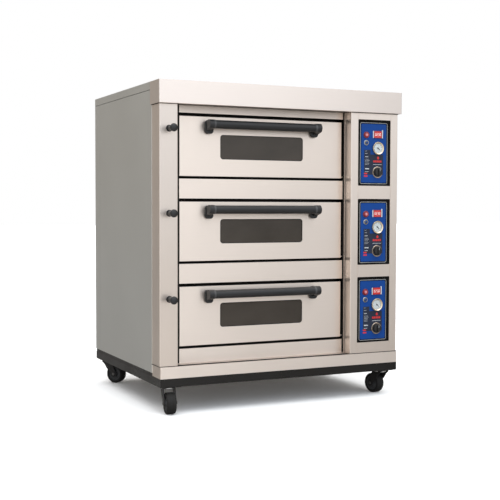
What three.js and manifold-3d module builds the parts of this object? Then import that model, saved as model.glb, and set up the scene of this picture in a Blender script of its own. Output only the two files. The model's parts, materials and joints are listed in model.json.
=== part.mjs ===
import * as THREE from 'three';
import { mergeVertices } from 'three/addons/utils/BufferGeometryUtils.js';
import Module from 'manifold-3d';

// Three-deck bakery oven, in millimetres. X runs to the right seen from the front, Y runs to the
// back and Z up. Y = 0 is the front face of the two columns until the group is centred at the end.

// Casing
const BODY_WIDTH = 1220;
const BODY_BACK = 958;
const RETURN_DEPTH = 100;
const SHEET = 2;
const BEND_RADIUS = 4;
const GAP = 0.3;
const BASE_BOTTOM = 120;
const BASE_TOP = 171;
const BASE_WALL = 4;
const BASE_HALF_WIDTH = 606.4;
const BASE_FRONT = -5.4;
const RIM_PROUD = 2.3;
const BASE_BACK = 956;
const SKIRT_BOTTOM = 158;
const SKIRT_TOP = 210;
const SKIRT_FRONT = -8;
const SKIRT_SHEET = 1.6;
const SKIRT_HALF_WIDTH = 609;
const HOOD_BOTTOM = 1357;
const HOOD_TOP = 1457;
const HOOD_FRONT = -22;
const HOOD_OVERHANG = 8.5;
const COVER_BOTTOM = 1425;
const COVER_TOP = 1460;
const COLUMN_TOP = 1440;
const SIDE_FLANGE = 20;
const COVER_SEAM = 2;
const FOLD_FROM_BACK = 85;
const FOLD_DEPTH = 0.8;

// Columns
const LEFT_COLUMN_WIDTH = 86;
const CONTROL_COLUMN_LEFT = 350;
const COLUMN_RETURN = 61.7;

// Doors and decks, each measured from the lower edge of its door
const BAY_FRONT = 62;
const DOOR_LOWER_EDGES = [1046, 667, 288];
const DOOR_CENTRE_X = -80;
const DOOR_WIDTH = 825.5;
const DOOR_HEIGHT = 265;
const DOOR_SIDE_GAP = 16.5;
const DOOR_BOTTOM_GAP = 12;
const DOOR_TOP_GAP = 14.5;
const DOOR_SKIN_BACK = 86;
const DOOR_INNER_BACK = 104;
const DOOR_INNER_INSET = 5;
const WINDOW_WIDTH = 421;
const WINDOW_HEIGHT = 110;
const WINDOW_RISE = 132;
const WINDOW_OFFSET_X = -5.5;
const WINDOW_RADIUS = 14;
const WINDOW_SLEEVE = 5;
const GLASS_THICKNESS = 5;
const GLASS_MARGIN = 12;
const HINGE_Y = 68;
const HINGE_RISE = 6;
const HINGE_PIN_RADIUS = 4;
const HINGE_HOLE_RADIUS = 4.6;
const HINGE_PIN_REACH = 19;
const SURROUND_LEFT = -545;
const SURROUND_RIGHT = 375;
const SURROUND_BACK = 105.5;

// Handles
const HANDLE_HALF_LENGTH = 283;
const HANDLE_RADIUS = 19;
const HANDLE_AXIS_Y = 22;
const HANDLE_BELOW_TOP = 35;
const HANDLE_OFFSET_X = -7;
const SOCKET_WIDTH = 22;
const SOCKET_RADIUS = 21;
const SOCKET_DROP = 30;
const FOOT_CENTRE = 267;
const FOOT_WIDTH = 40;
const FOOT_HEIGHT = 60;
const FOOT_THICKNESS = 14;
const FOOT_CORNER = 13;

// Baking chambers, heights from the lower edge of the door
const CHAMBER_WALL = 3;
const CHAMBER_FRONT = 105.8;
const CHAMBER_FRAME = 3;
const CHAMBER_DEPTH = 700;
const CHAMBER_HALF_WIDTH = 420;
const CHAMBER_FLOOR = -2;
const CHAMBER_CEILING = 258;
const FRAME_BOTTOM = -50;
const FRAME_TOP = 318;
const MOUTH_HALF_WIDTH = 403;
const MOUTH_BOTTOM = 46;
const MOUTH_TOP = 240;
const LEDGE_WIDTH = 14;
const LEDGE_BOTTOM = 20;
const HEARTH_BOTTOM = 27;
const HEARTH_TOP = 45;
const ELEMENT_BAR = 8;
const ELEMENT_PITCH = 110;
const ELEMENT_PASSES = 6;
const ELEMENT_HALF_LENGTH = 330;
const UPPER_ELEMENT_BOTTOM = 244;
const LOWER_ELEMENT_BOTTOM = 8;

// Controls, offsets from the centre of each panel
const PANEL_HEIGHTS = [1168, 791.5, 419];
const PANEL_X = 480;
const PANEL_OPENING_WIDTH = 180;
const PANEL_OPENING_HEIGHT = 314;
const PANEL_CORNER = 8;
const OPENING_CORNER = 3;
const SEAM_WIDTH = 1.6;
const SEAM_DEPTH = 1.2;
const SEAM_OVERLAP = 0.1;
const PANEL_PLATE_MARGIN = 8;
const PANEL_PLATE_BACK = 6;
const TRIM_WIDTH = 156;
const TRIM_HEIGHT = 300;
const TRIM_BAND = 5;
const TRIM_FRONT = 0.6;
const FACE_WIDTH = 133;
const FACE_HEIGHT = 287;
const FACE_FRONT = 1;
const BUTTON_OFFSET_X = -46;
const DIAL_OFFSET_X = 17.5;
const POWER_OFFSET_Z = 84.5;
const LIGHT_OFFSET_Z = 47.5;
const DISPLAY_OFFSET_Z = 87.5;
const GAUGE_OFFSET_Z = 22;
const KNOB_OFFSET_Z = -92;
const DISPLAY_WIDTH = 47;
const DISPLAY_HEIGHT = 33;
const DISPLAY_FRONT = -1.5;
const BUTTON_CLEARANCE = 0.35;
const BUTTON_BACK = 12;
const POWER_RADIUS = 12;
const POWER_BEZEL_RADIUS = 15;
const POWER_FRONT = -7;
const LIGHT_RADIUS = 9;
const LIGHT_BEZEL_RADIUS = 12.5;
const LIGHT_FRONT = -6;
const BUTTON_BEZEL_FRONT = -2.5;
const GAUGE_RADIUS = 31;
const GAUGE_BEZEL = 5;
const GAUGE_FRONT = -9;
const DIAL_FRONT = -3;
const NEEDLE_LENGTH = 19;
const NEEDLE_TAIL = 7;
const NEEDLE_HUB_RADIUS = 3.5;
const NEEDLE_THICKNESS = 1.2;
const NEEDLE_REST_ANGLE = 130;
const KNOB_RING_RADIUS = 29;
const KNOB_RING_FRONT = -2.5;
const KNOB_RADIUS = 23;
const KNOB_FRONT = -16;
const KNOB_GRIP_FRONT = -24;
const KNOB_GRIP_WIDTH = 9;

// Damper rods
const DAMPER_HEIGHTS = [1249, 881, 506];
const DAMPER_X = -564;
const DAMPER_SHANK_RADIUS = 11;
const DAMPER_HOLE_RADIUS = 11.6;
const DAMPER_HEAD_RADIUS = 18;
const DAMPER_FRONT = -66;
const DAMPER_INNER_END = 58;

// Rear fittings
const OUTLET_RADIUS = 30;
const OUTLET_WALL = 2;
const OUTLET_BACK = 988;
const OUTLET_X = -500;
const INLET_X = 500;
const INLET_Z = 300;
const INLET_RADIUS = 18;
const INLET_BORE = 9;
const INLET_LENGTH = 16;

// Casters
const CASTER_INSET_X = 57;
const CASTER_FRONT_Y = 50;
const CASTER_BACK_Y = 900;
const CASTER_PLATE = 90;
const CASTER_PLATE_BOTTOM = 116;
const CASTER_TRAIL = 40;
const WHEEL_RADIUS = 48;
const WHEEL_HALF_WIDTH = 22;
const WHEEL_HUB_HALF_WIDTH = 23.5;
const WHEEL_FACETS = 24;
const AXLE_RADIUS = 5;
const AXLE_BORE = 5.5;
const FORK_INNER = 24.5;
const FORK_LEG = 4;
const FORK_HEAD_RADIUS = 32;
const FORK_HEAD_BOTTOM = 102;
const FORK_CROWN_BOTTOM = 108;
const FORK_CROWN_INSET = 6;
const FORK_TOP_STEP = 2;
const FORK_EYE_RADIUS = 15;
const FORK_EYE_SWEEP = 2.4;
const BOLT_SIDES = 6;
const BOLT_RADIUS = 8;
const BOLT_LENGTH = 4;
// Yaw of each fork, in degrees: 0 trails to the front, 90 to the right, -90 to the left
const CASTERS = [
  { name: 'front_left', side: -1, y: CASTER_FRONT_Y, yaw: -8 },
  { name: 'front_right', side: 1, y: CASTER_FRONT_Y, yaw: -168 },
  { name: 'rear_left', side: -1, y: CASTER_BACK_Y, yaw: 38 },
  { name: 'rear_right', side: 1, y: CASTER_BACK_Y, yaw: -60 },
];

const BAR_SIDES = 18;
const SMALL_SIDES = 12;
const HALF_TURN = Math.PI;
const QUARTER_TURN = Math.PI / 2;
const HALF_BODY = BODY_WIDTH / 2;
const CUT_MARGIN = 1;

const wasm = await Module();
wasm.setup();

// ---- Solid operations ----

function toSolid(geometry) {
  const bare = geometry.clone();
  bare.deleteAttribute('normal');
  bare.deleteAttribute('uv');
  const welded = mergeVertices(bare);
  const vertProperties = new Float32Array(welded.attributes.position.array);
  const triVerts = new Uint32Array(welded.index.array);
  return new wasm.Manifold(new wasm.Mesh({ numProp: 3, vertProperties, triVerts }));
}

function toGeometry(solid) {
  const mesh = solid.getMesh();
  const geometry = new THREE.BufferGeometry();
  geometry.setAttribute('position', new THREE.BufferAttribute(new Float32Array(mesh.vertProperties), 3));
  geometry.setIndex(new THREE.BufferAttribute(new Uint32Array(mesh.triVerts), 1));
  geometry.computeVertexNormals();
  return geometry;
}

function joined(geometries) {
  return toGeometry(geometries.map(toSolid).reduce((whole, piece) => whole.add(piece)));
}

function cut(geometry, cutters) {
  return toGeometry(cutters.map(toSolid).reduce((whole, piece) => whole.subtract(piece), toSolid(geometry)));
}

// ---- Basic shapes ----

function block(left, right, front, back, bottom, top) {
  const box = new THREE.BoxGeometry(right - left, back - front, top - bottom);
  return box.translate((left + right) / 2, (front + back) / 2, (bottom + top) / 2);
}

function rodAlongX(radius, left, right, y, z, sides) {
  const rod = new THREE.CylinderGeometry(radius, radius, right - left, sides).rotateZ(QUARTER_TURN);
  return rod.translate((left + right) / 2, y, z);
}

function rodAlongY(radius, front, back, x, z, sides) {
  return new THREE.CylinderGeometry(radius, radius, back - front, sides).translate(x, (front + back) / 2, z);
}

function rodAlongZ(radius, bottom, top, x, y, sides) {
  const rod = new THREE.CylinderGeometry(radius, radius, top - bottom, sides).rotateX(QUARTER_TURN);
  return rod.translate(x, y, (bottom + top) / 2);
}

function roundedRectangle(width, height, radius) {
  const right = width / 2;
  const top = height / 2;
  const shape = new THREE.Shape();
  shape.absarc(right - radius, radius - top, radius, -QUARTER_TURN, 0, false);
  shape.absarc(right - radius, top - radius, radius, 0, QUARTER_TURN, false);
  shape.absarc(radius - right, top - radius, radius, QUARTER_TURN, HALF_TURN, false);
  shape.absarc(radius - right, radius - top, radius, HALF_TURN, HALF_TURN + QUARTER_TURN, false);
  return shape;
}

// Extrudes an outline drawn in X and Z from the front plane to the back plane.
function standingPlate(shape, front, back, x, z, curveSegments) {
  const plate = new THREE.ExtrudeGeometry(shape, { depth: back - front, bevelEnabled: false, curveSegments });
  return plate.rotateX(QUARTER_TURN).translate(x, back, z);
}

// Extrudes an outline drawn in X and Y from the bottom to the top.
function risingSection(shape, bottom, top, curveSegments) {
  const section = new THREE.ExtrudeGeometry(shape, { depth: top - bottom, bevelEnabled: false, curveSegments });
  return section.translate(0, 0, bottom);
}

// Extrudes an outline drawn in Y and Z along X.
function sideSection(shape, left, right, curveSegments) {
  const section = new THREE.ExtrudeGeometry(shape, { depth: right - left, bevelEnabled: false, curveSegments });
  return section.rotateX(QUARTER_TURN).rotateZ(QUARTER_TURN).translate(left, 0, 0);
}

// Turns a profile of [radius, distance] points; the distance runs towards the front from Y = 0.
function turnedForward(profile, sides) {
  return new THREE.LatheGeometry(profile.map(([r, h]) => new THREE.Vector2(r, h)), sides).rotateX(HALF_TURN);
}

// Plan outline of a sheet folded back at both ends.
function channelOutline(left, right, front, leftBack, rightBack, sheet) {
  const inner = BEND_RADIUS - sheet;
  const shape = new THREE.Shape();
  shape.moveTo(left, leftBack);
  shape.absarc(left + BEND_RADIUS, front + BEND_RADIUS, BEND_RADIUS, HALF_TURN, -QUARTER_TURN, false);
  shape.absarc(right - BEND_RADIUS, front + BEND_RADIUS, BEND_RADIUS, -QUARTER_TURN, 0, false);
  shape.lineTo(right, rightBack);
  shape.lineTo(right - sheet, rightBack);
  shape.absarc(right - BEND_RADIUS, front + BEND_RADIUS, inner, 0, -QUARTER_TURN, true);
  shape.absarc(left + BEND_RADIUS, front + BEND_RADIUS, inner, -QUARTER_TURN, -HALF_TURN, true);
  shape.lineTo(left + sheet, leftBack);
  shape.closePath();
  return shape;
}

// ---- Casing ----

const CASTER_X = HALF_BODY - CASTER_INSET_X;
const BEND_SEGMENTS = 2;

function baseFrameGeometry() {
  const half = BASE_HALF_WIDTH;
  const tray = block(-half, half, BASE_FRONT, BASE_BACK, BASE_BOTTOM, BASE_TOP);
  const inside = block(
    BASE_WALL - half, half - BASE_WALL,
    BASE_FRONT + BASE_WALL, BASE_BACK - BASE_WALL,
    BASE_BOTTOM + BASE_WALL, BASE_TOP + CUT_MARGIN,
  );
  const reach = CASTER_PLATE / 2;
  const plates = CASTERS.map(({ side, y }) => block(
    side * CASTER_X - reach, side * CASTER_X + reach,
    y - reach, y + reach,
    CASTER_PLATE_BOTTOM, BASE_BOTTOM + BASE_WALL / 2,
  ));
  const rimHalf = half + RIM_PROUD;
  const rim = block(
    -rimHalf, rimHalf, BASE_FRONT - RIM_PROUD, BASE_BACK, BASE_BOTTOM, SKIRT_BOTTOM - GAP,
  );
  return joined([cut(joined([tray, rim]), [inside]), ...plates]);
}

function sidePanelGeometry(side) {
  const outer = HALF_BODY;
  const inner = HALF_BODY - SHEET;
  const flange = inner - SIDE_FLANGE;
  const front = RETURN_DEPTH + GAP;
  const back = BODY_BACK - SHEET - GAP;
  const fold = BODY_BACK - FOLD_FROM_BACK;
  const points = [
    [outer, front], [outer, fold - SHEET], [outer - FOLD_DEPTH, fold], [outer, fold + SHEET], [outer, back],
    [flange, back], [flange, back - SHEET], [inner, back - SHEET],
    [inner, front + SHEET], [flange, front + SHEET], [flange, front],
  ];
  const shape = new THREE.Shape(points.map(([x, y]) => new THREE.Vector2(side * x, y)));
  return risingSection(shape, BASE_TOP + GAP, COVER_BOTTOM - COVER_SEAM, 1);
}

function backPanelGeometry() {
  const reach = HALF_BODY - GAP;
  const front = BODY_BACK - SHEET;
  const sheet = block(-reach, reach, front, BODY_BACK, BASE_TOP + GAP, COVER_BOTTOM - GAP);
  const tubes = DAMPER_HEIGHTS.map((z) => rodAlongY(OUTLET_RADIUS, front, OUTLET_BACK, OUTLET_X, z, BAR_SIDES));
  const gland = rodAlongY(INLET_RADIUS, front, BODY_BACK + INLET_LENGTH, INLET_X, INLET_Z, SMALL_SIDES);
  const before = front - CUT_MARGIN;
  const bore = OUTLET_RADIUS - OUTLET_WALL;
  const bores = DAMPER_HEIGHTS.map((z) => (
    rodAlongY(bore, before, OUTLET_BACK + CUT_MARGIN, OUTLET_X, z, BAR_SIDES)
  ));
  const inlet = rodAlongY(INLET_BORE, before, BODY_BACK + INLET_LENGTH + CUT_MARGIN, INLET_X, INLET_Z, SMALL_SIDES);
  return cut(joined([sheet, ...tubes, gland]), [...bores, inlet]);
}

function topCoverGeometry() {
  const front = RETURN_DEPTH + GAP;
  const shell = block(-HALF_BODY, HALF_BODY, front, BODY_BACK, COVER_BOTTOM, COVER_TOP);
  const inside = block(
    SHEET - HALF_BODY, HALF_BODY - SHEET,
    front - CUT_MARGIN, BODY_BACK - SHEET,
    COVER_BOTTOM - CUT_MARGIN, COVER_TOP - SHEET,
  );
  return cut(shell, [inside]);
}

function frontHoodGeometry() {
  const half = HALF_BODY + HOOD_OVERHANG;
  const outline = channelOutline(-half, half, HOOD_FRONT, RETURN_DEPTH, RETURN_DEPTH, SHEET);
  const face = risingSection(outline, HOOD_BOTTOM, HOOD_TOP, BEND_SEGMENTS);
  const reach = half - SHEET / 2;
  const lidFront = HOOD_FRONT + BEND_RADIUS;
  const lid = block(-reach, reach, lidFront, RETURN_DEPTH, HOOD_TOP - SHEET, HOOD_TOP);
  const frontStrip = block(
    BEND_RADIUS - half, half - BEND_RADIUS,
    HOOD_FRONT + SHEET / 2, lidFront + SHEET,
    HOOD_TOP - SHEET, HOOD_TOP,
  );
  const lip = block(
    BEND_RADIUS - half, half - BEND_RADIUS,
    HOOD_FRONT + SHEET / 2, -GAP,
    HOOD_BOTTOM, HOOD_BOTTOM + SHEET,
  );
  return joined([face, lid, frontStrip, lip]);
}

function bottomSkirtGeometry() {
  const half = SKIRT_HALF_WIDTH;
  const outline = channelOutline(-half, half, SKIRT_FRONT, RETURN_DEPTH, RETURN_DEPTH, SKIRT_SHEET);
  const face = risingSection(outline, SKIRT_BOTTOM, SKIRT_TOP, BEND_SEGMENTS);
  const reach = half - SKIRT_SHEET / 2;
  const ledgeFront = SKIRT_FRONT + BEND_RADIUS;
  const ledge = block(-reach, reach, ledgeFront, RETURN_DEPTH, SKIRT_TOP - SKIRT_SHEET, SKIRT_TOP);
  const frontStrip = block(
    BEND_RADIUS - half, half - BEND_RADIUS,
    SKIRT_FRONT + SKIRT_SHEET / 2, ledgeFront + SKIRT_SHEET,
    SKIRT_TOP - SKIRT_SHEET, SKIRT_TOP,
  );
  return joined([face, ledge, frontStrip]);
}

function leftColumnGeometry() {
  const right = LEFT_COLUMN_WIDTH - HALF_BODY;
  const outline = channelOutline(-HALF_BODY, right, 0, RETURN_DEPTH, COLUMN_RETURN, SHEET);
  const column = risingSection(outline, SKIRT_TOP + GAP, COLUMN_TOP, BEND_SEGMENTS);
  const holes = DAMPER_HEIGHTS.map((z) => (
    rodAlongY(DAMPER_HOLE_RADIUS, -CUT_MARGIN, SHEET + CUT_MARGIN, DAMPER_X, z, BAR_SIDES)
  ));
  return cut(column, holes);
}

function controlColumnGeometry() {
  const outline = channelOutline(CONTROL_COLUMN_LEFT, HALF_BODY, 0, COLUMN_RETURN, RETURN_DEPTH, SHEET);
  const column = risingSection(outline, SKIRT_TOP + GAP, COLUMN_TOP, BEND_SEGMENTS);
  const opening = roundedRectangle(PANEL_OPENING_WIDTH, PANEL_OPENING_HEIGHT, OPENING_CORNER);
  const openings = PANEL_HEIGHTS.map((z) => (
    standingPlate(opening, -CUT_MARGIN, SHEET + CUT_MARGIN, PANEL_X, z, BEND_SEGMENTS)
  ));
  const seams = [-1, 1].map((side) => {
    const x = PANEL_X + side * (PANEL_OPENING_WIDTH + SEAM_WIDTH) / 2 - side * SEAM_OVERLAP;
    return block(
      x - SEAM_WIDTH / 2, x + SEAM_WIDTH / 2, -CUT_MARGIN, SEAM_DEPTH,
      SKIRT_TOP - CUT_MARGIN, COLUMN_TOP + CUT_MARGIN,
    );
  });
  return cut(column, [...openings, ...seams]);
}

const OPENING_LEFT = DOOR_CENTRE_X - DOOR_WIDTH / 2 - DOOR_SIDE_GAP;
const OPENING_RIGHT = DOOR_CENTRE_X + DOOR_WIDTH / 2 + DOOR_SIDE_GAP;

function doorSurroundGeometry() {
  const sheet = block(
    SURROUND_LEFT, SURROUND_RIGHT,
    BAY_FRONT, BAY_FRONT + SHEET,
    SKIRT_TOP + GAP, COLUMN_TOP,
  );
  const frames = [];
  const openings = [];
  DOOR_LOWER_EDGES.forEach((edge) => {
    const bottom = edge - DOOR_BOTTOM_GAP;
    const top = edge + DOOR_HEIGHT + DOOR_TOP_GAP;
    frames.push(block(
      OPENING_LEFT - SHEET, OPENING_RIGHT + SHEET,
      BAY_FRONT, SURROUND_BACK,
      bottom - SHEET, top + SHEET,
    ));
    openings.push(block(
      OPENING_LEFT, OPENING_RIGHT,
      BAY_FRONT - CUT_MARGIN, SURROUND_BACK + CUT_MARGIN,
      bottom, top,
    ));
    openings.push(rodAlongX(
      HINGE_HOLE_RADIUS,
      OPENING_LEFT - SHEET - CUT_MARGIN, OPENING_RIGHT + SHEET + CUT_MARGIN,
      HINGE_Y, edge + HINGE_RISE, SMALL_SIDES,
    ));
  });
  return cut(joined([sheet, ...frames]), openings);
}

// ---- Baking chambers ----

function chamberGeometry(edge) {
  const outer = CHAMBER_HALF_WIDTH + CHAMBER_WALL;
  const cavityFront = CHAMBER_FRONT + CHAMBER_FRAME;
  const cavityBack = cavityFront + CHAMBER_DEPTH;
  const floor = edge + CHAMBER_FLOOR;
  const ceiling = edge + CHAMBER_CEILING;
  const middle = DOOR_CENTRE_X;
  const frame = block(
    SURROUND_LEFT, SURROUND_RIGHT,
    CHAMBER_FRONT, cavityFront,
    edge + FRAME_BOTTOM, edge + FRAME_TOP,
  );
  const shell = block(
    middle - outer, middle + outer,
    CHAMBER_FRONT, cavityBack + CHAMBER_WALL,
    floor - CHAMBER_WALL, ceiling + CHAMBER_WALL,
  );
  const cavity = block(
    middle - CHAMBER_HALF_WIDTH, middle + CHAMBER_HALF_WIDTH,
    cavityFront, cavityBack,
    floor, ceiling,
  );
  const mouth = block(
    middle - MOUTH_HALF_WIDTH, middle + MOUTH_HALF_WIDTH,
    CHAMBER_FRONT - CUT_MARGIN, cavityFront + CUT_MARGIN,
    edge + MOUTH_BOTTOM, edge + MOUTH_TOP,
  );
  const ledges = [-1, 1].map((side) => {
    const wall = middle + side * (CHAMBER_HALF_WIDTH + CHAMBER_WALL / 2);
    const tip = middle + side * (CHAMBER_HALF_WIDTH - LEDGE_WIDTH);
    return block(
      Math.min(wall, tip), Math.max(wall, tip),
      cavityFront, cavityBack,
      edge + LEDGE_BOTTOM, edge + HEARTH_BOTTOM - GAP,
    );
  });
  return joined([cut(joined([frame, shell]), [cavity, mouth]), ...ledges]);
}

function hearthGeometry() {
  const reach = CHAMBER_HALF_WIDTH - 2;
  const front = CHAMBER_FRONT + CHAMBER_FRAME + 2;
  const back = front + CHAMBER_DEPTH - 4;
  return block(-reach, reach, front, back, HEARTH_BOTTOM, HEARTH_TOP);
}

// Plan outline of a flat bar bent to and fro, with round turns at the row ends.
function serpentineOutline() {
  const half = ELEMENT_BAR / 2;
  const turn = ELEMENT_PITCH / 2;
  const shape = new THREE.Shape();
  shape.moveTo(-ELEMENT_HALF_LENGTH, -half);
  for (let row = 0; row < ELEMENT_PASSES - 1; row += 1) {
    const heading = row % 2 === 0 ? 1 : -1;
    const centreY = row * ELEMENT_PITCH + turn;
    const radius = turn + heading * half;
    shape.absarc(heading * ELEMENT_HALF_LENGTH, centreY, radius, -QUARTER_TURN, QUARTER_TURN, heading < 0);
  }
  const lastHeading = ELEMENT_PASSES % 2 === 0 ? -1 : 1;
  const lastY = (ELEMENT_PASSES - 1) * ELEMENT_PITCH;
  shape.lineTo(lastHeading * ELEMENT_HALF_LENGTH, lastY - lastHeading * half);
  shape.lineTo(lastHeading * ELEMENT_HALF_LENGTH, lastY + lastHeading * half);
  for (let row = ELEMENT_PASSES - 2; row >= 0; row -= 1) {
    const heading = row % 2 === 0 ? 1 : -1;
    const centreY = row * ELEMENT_PITCH + turn;
    const radius = turn - heading * half;
    shape.absarc(heading * ELEMENT_HALF_LENGTH, centreY, radius, QUARTER_TURN, -QUARTER_TURN, heading > 0);
  }
  shape.lineTo(-ELEMENT_HALF_LENGTH, half);
  shape.closePath();
  return shape;
}

function elementGeometry() {
  const bar = risingSection(serpentineOutline(), 0, ELEMENT_BAR, 4);
  const span = (ELEMENT_PASSES - 1) * ELEMENT_PITCH;
  const middle = CHAMBER_FRONT + CHAMBER_FRAME + CHAMBER_DEPTH / 2;
  return bar.translate(0, middle - span / 2, 0);
}

// ---- Doors ----

const WINDOW_SEGMENTS = 4;

function windowOutline(extra) {
  return roundedRectangle(WINDOW_WIDTH + extra, WINDOW_HEIGHT + extra, WINDOW_RADIUS + extra / 2);
}

function windowCutter(front, back, extra) {
  return standingPlate(windowOutline(extra), front, back, WINDOW_OFFSET_X, WINDOW_RISE, WINDOW_SEGMENTS);
}

function outerPanelGeometry() {
  const half = DOOR_WIDTH / 2;
  const tray = block(-half, half, BAY_FRONT, DOOR_SKIN_BACK, 0, DOOR_HEIGHT);
  const inside = block(
    SHEET - half, half - SHEET,
    BAY_FRONT + SHEET, DOOR_SKIN_BACK + CUT_MARGIN,
    SHEET, DOOR_HEIGHT - SHEET,
  );
  const pins = [-1, 1].map((side) => {
    const root = side * (half - SHEET / 2);
    const tip = side * (half + HINGE_PIN_REACH);
    return rodAlongX(
      HINGE_PIN_RADIUS, Math.min(root, tip), Math.max(root, tip), HINGE_Y, HINGE_RISE, SMALL_SIDES,
    );
  });
  const skin = cut(tray, [inside, windowCutter(BAY_FRONT - CUT_MARGIN, BAY_FRONT + SHEET + CUT_MARGIN, 0)]);
  return joined([skin, ...pins]);
}

function innerPanelGeometry() {
  const half = DOOR_WIDTH / 2 - DOOR_INNER_INSET;
  const front = DOOR_SKIN_BACK + GAP;
  const bottom = DOOR_INNER_INSET;
  const top = DOOR_HEIGHT - DOOR_INNER_INSET;
  const tray = block(-half, half, front, DOOR_INNER_BACK, bottom, top);
  const inside = block(
    SHEET - half, half - SHEET,
    front - CUT_MARGIN, DOOR_INNER_BACK - SHEET,
    bottom + SHEET, top - SHEET,
  );
  const sleeveFront = BAY_FRONT + SHEET + GAP + GLASS_THICKNESS + GAP;
  const sleeve = windowCutter(sleeveFront, DOOR_INNER_BACK - SHEET / 2, 2 * WINDOW_SLEEVE);
  return cut(
    joined([cut(tray, [inside]), sleeve]),
    [windowCutter(sleeveFront - CUT_MARGIN, DOOR_INNER_BACK + CUT_MARGIN, 2)],
  );
}

function glassGeometry() {
  const front = BAY_FRONT + SHEET + GAP;
  return windowCutter(front, front + GLASS_THICKNESS, 2 * GLASS_MARGIN);
}

function handleGeometry() {
  const axisZ = DOOR_HEIGHT - HANDLE_BELOW_TOP;
  const bar = rodAlongX(
    HANDLE_RADIUS, HANDLE_OFFSET_X - HANDLE_HALF_LENGTH, HANDLE_OFFSET_X + HANDLE_HALF_LENGTH,
    HANDLE_AXIS_Y, axisZ, BAR_SIDES,
  );
  const doorFace = BAY_FRONT - GAP;
  const footFront = doorFace - FOOT_THICKNESS;
  const outline = new THREE.Shape();
  outline.moveTo(footFront + 1, axisZ - SOCKET_DROP);
  outline.lineTo(footFront + 1, axisZ + HANDLE_RADIUS);
  outline.lineTo(HANDLE_AXIS_Y + SOCKET_RADIUS / 2, axisZ + HANDLE_RADIUS);
  outline.absarc(HANDLE_AXIS_Y, axisZ, SOCKET_RADIUS, Math.PI / 3, HALF_TURN + Math.PI / 3, false);
  outline.closePath();
  const foot = roundedRectangle(FOOT_WIDTH, FOOT_HEIGHT, FOOT_CORNER);
  const footZ = axisZ + HANDLE_RADIUS - FOOT_HEIGHT / 2;
  const brackets = [-1, 1].flatMap((side) => {
    const outer = HANDLE_OFFSET_X + side * HANDLE_HALF_LENGTH;
    const inner = HANDLE_OFFSET_X + side * (HANDLE_HALF_LENGTH - SOCKET_WIDTH);
    const footX = HANDLE_OFFSET_X + side * FOOT_CENTRE;
    return [
      sideSection(outline, Math.min(outer, inner), Math.max(outer, inner), 9),
      standingPlate(foot, footFront, doorFace, footX, footZ, 3),
    ];
  });
  return joined([bar, ...brackets]);
}

// ---- Controls, built around X = 0 and Z = 0 ----

function ringForward(outerRadius, boreRadius, front, back, sides) {
  const profile = [
    [boreRadius, -back], [outerRadius, -back], [outerRadius, -front - 1], [outerRadius - 1, -front],
    [boreRadius, -front], [boreRadius, -back],
  ];
  return turnedForward(profile, sides);
}

function controlPanelGeometry() {
  const plate = standingPlate(
    roundedRectangle(
      PANEL_OPENING_WIDTH + 2 * PANEL_PLATE_MARGIN,
      PANEL_OPENING_HEIGHT + 2 * PANEL_PLATE_MARGIN,
      PANEL_CORNER,
    ),
    SHEET + GAP, PANEL_PLATE_BACK, 0, 0, BEND_SEGMENTS,
  );
  const trim = standingPlate(
    roundedRectangle(TRIM_WIDTH, TRIM_HEIGHT, PANEL_CORNER), TRIM_FRONT, SHEET + CUT_MARGIN, 0, 0, BEND_SEGMENTS,
  );
  const moat = standingPlate(
    roundedRectangle(TRIM_WIDTH - 2 * TRIM_BAND, TRIM_HEIGHT - 2 * TRIM_BAND, PANEL_CORNER),
    TRIM_FRONT - CUT_MARGIN, SHEET + GAP, 0, 0, BEND_SEGMENTS,
  );
  const face = standingPlate(
    roundedRectangle(FACE_WIDTH, FACE_HEIGHT, PANEL_CORNER / 2), FACE_FRONT, SHEET + CUT_MARGIN, 0, 0, BEND_SEGMENTS,
  );
  const display = block(
    DIAL_OFFSET_X - DISPLAY_WIDTH / 2, DIAL_OFFSET_X + DISPLAY_WIDTH / 2,
    DISPLAY_FRONT, SHEET,
    DISPLAY_OFFSET_Z - DISPLAY_HEIGHT / 2, DISPLAY_OFFSET_Z + DISPLAY_HEIGHT / 2,
  );
  const gaugeBody = rodAlongY(GAUGE_RADIUS, DIAL_FRONT, SHEET, DIAL_OFFSET_X, GAUGE_OFFSET_Z, BAR_SIDES);
  const gaugeRing = ringForward(GAUGE_RADIUS, GAUGE_RADIUS - GAUGE_BEZEL, GAUGE_FRONT, SHEET, BAR_SIDES)
    .translate(DIAL_OFFSET_X, 0, GAUGE_OFFSET_Z);
  const knobRing = ringForward(KNOB_RING_RADIUS, AXLE_BORE, KNOB_RING_FRONT, SHEET, BAR_SIDES)
    .translate(DIAL_OFFSET_X, 0, KNOB_OFFSET_Z);
  const powerBezel = rodAlongY(
    POWER_BEZEL_RADIUS, BUTTON_BEZEL_FRONT, SHEET, BUTTON_OFFSET_X, POWER_OFFSET_Z, SMALL_SIDES,
  );
  const lightBezel = rodAlongY(
    LIGHT_BEZEL_RADIUS, BUTTON_BEZEL_FRONT, SHEET, BUTTON_OFFSET_X, LIGHT_OFFSET_Z, SMALL_SIDES,
  );
  const bores = [
    [POWER_RADIUS, POWER_OFFSET_Z],
    [LIGHT_RADIUS, LIGHT_OFFSET_Z],
  ].map(([radius, z]) => rodAlongY(
    radius + BUTTON_CLEARANCE, BUTTON_BEZEL_FRONT - CUT_MARGIN, PANEL_PLATE_BACK + CUT_MARGIN,
    BUTTON_OFFSET_X, z, SMALL_SIDES,
  ));
  const spindleBore = rodAlongY(
    AXLE_BORE, KNOB_RING_FRONT - CUT_MARGIN, PANEL_PLATE_BACK + CUT_MARGIN,
    DIAL_OFFSET_X, KNOB_OFFSET_Z, SMALL_SIDES,
  );
  const raised = [face, display, gaugeBody, gaugeRing, knobRing, powerBezel, lightBezel];
  return cut(joined([plate, cut(trim, [moat]), ...raised]), [...bores, spindleBore]);
}

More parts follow.
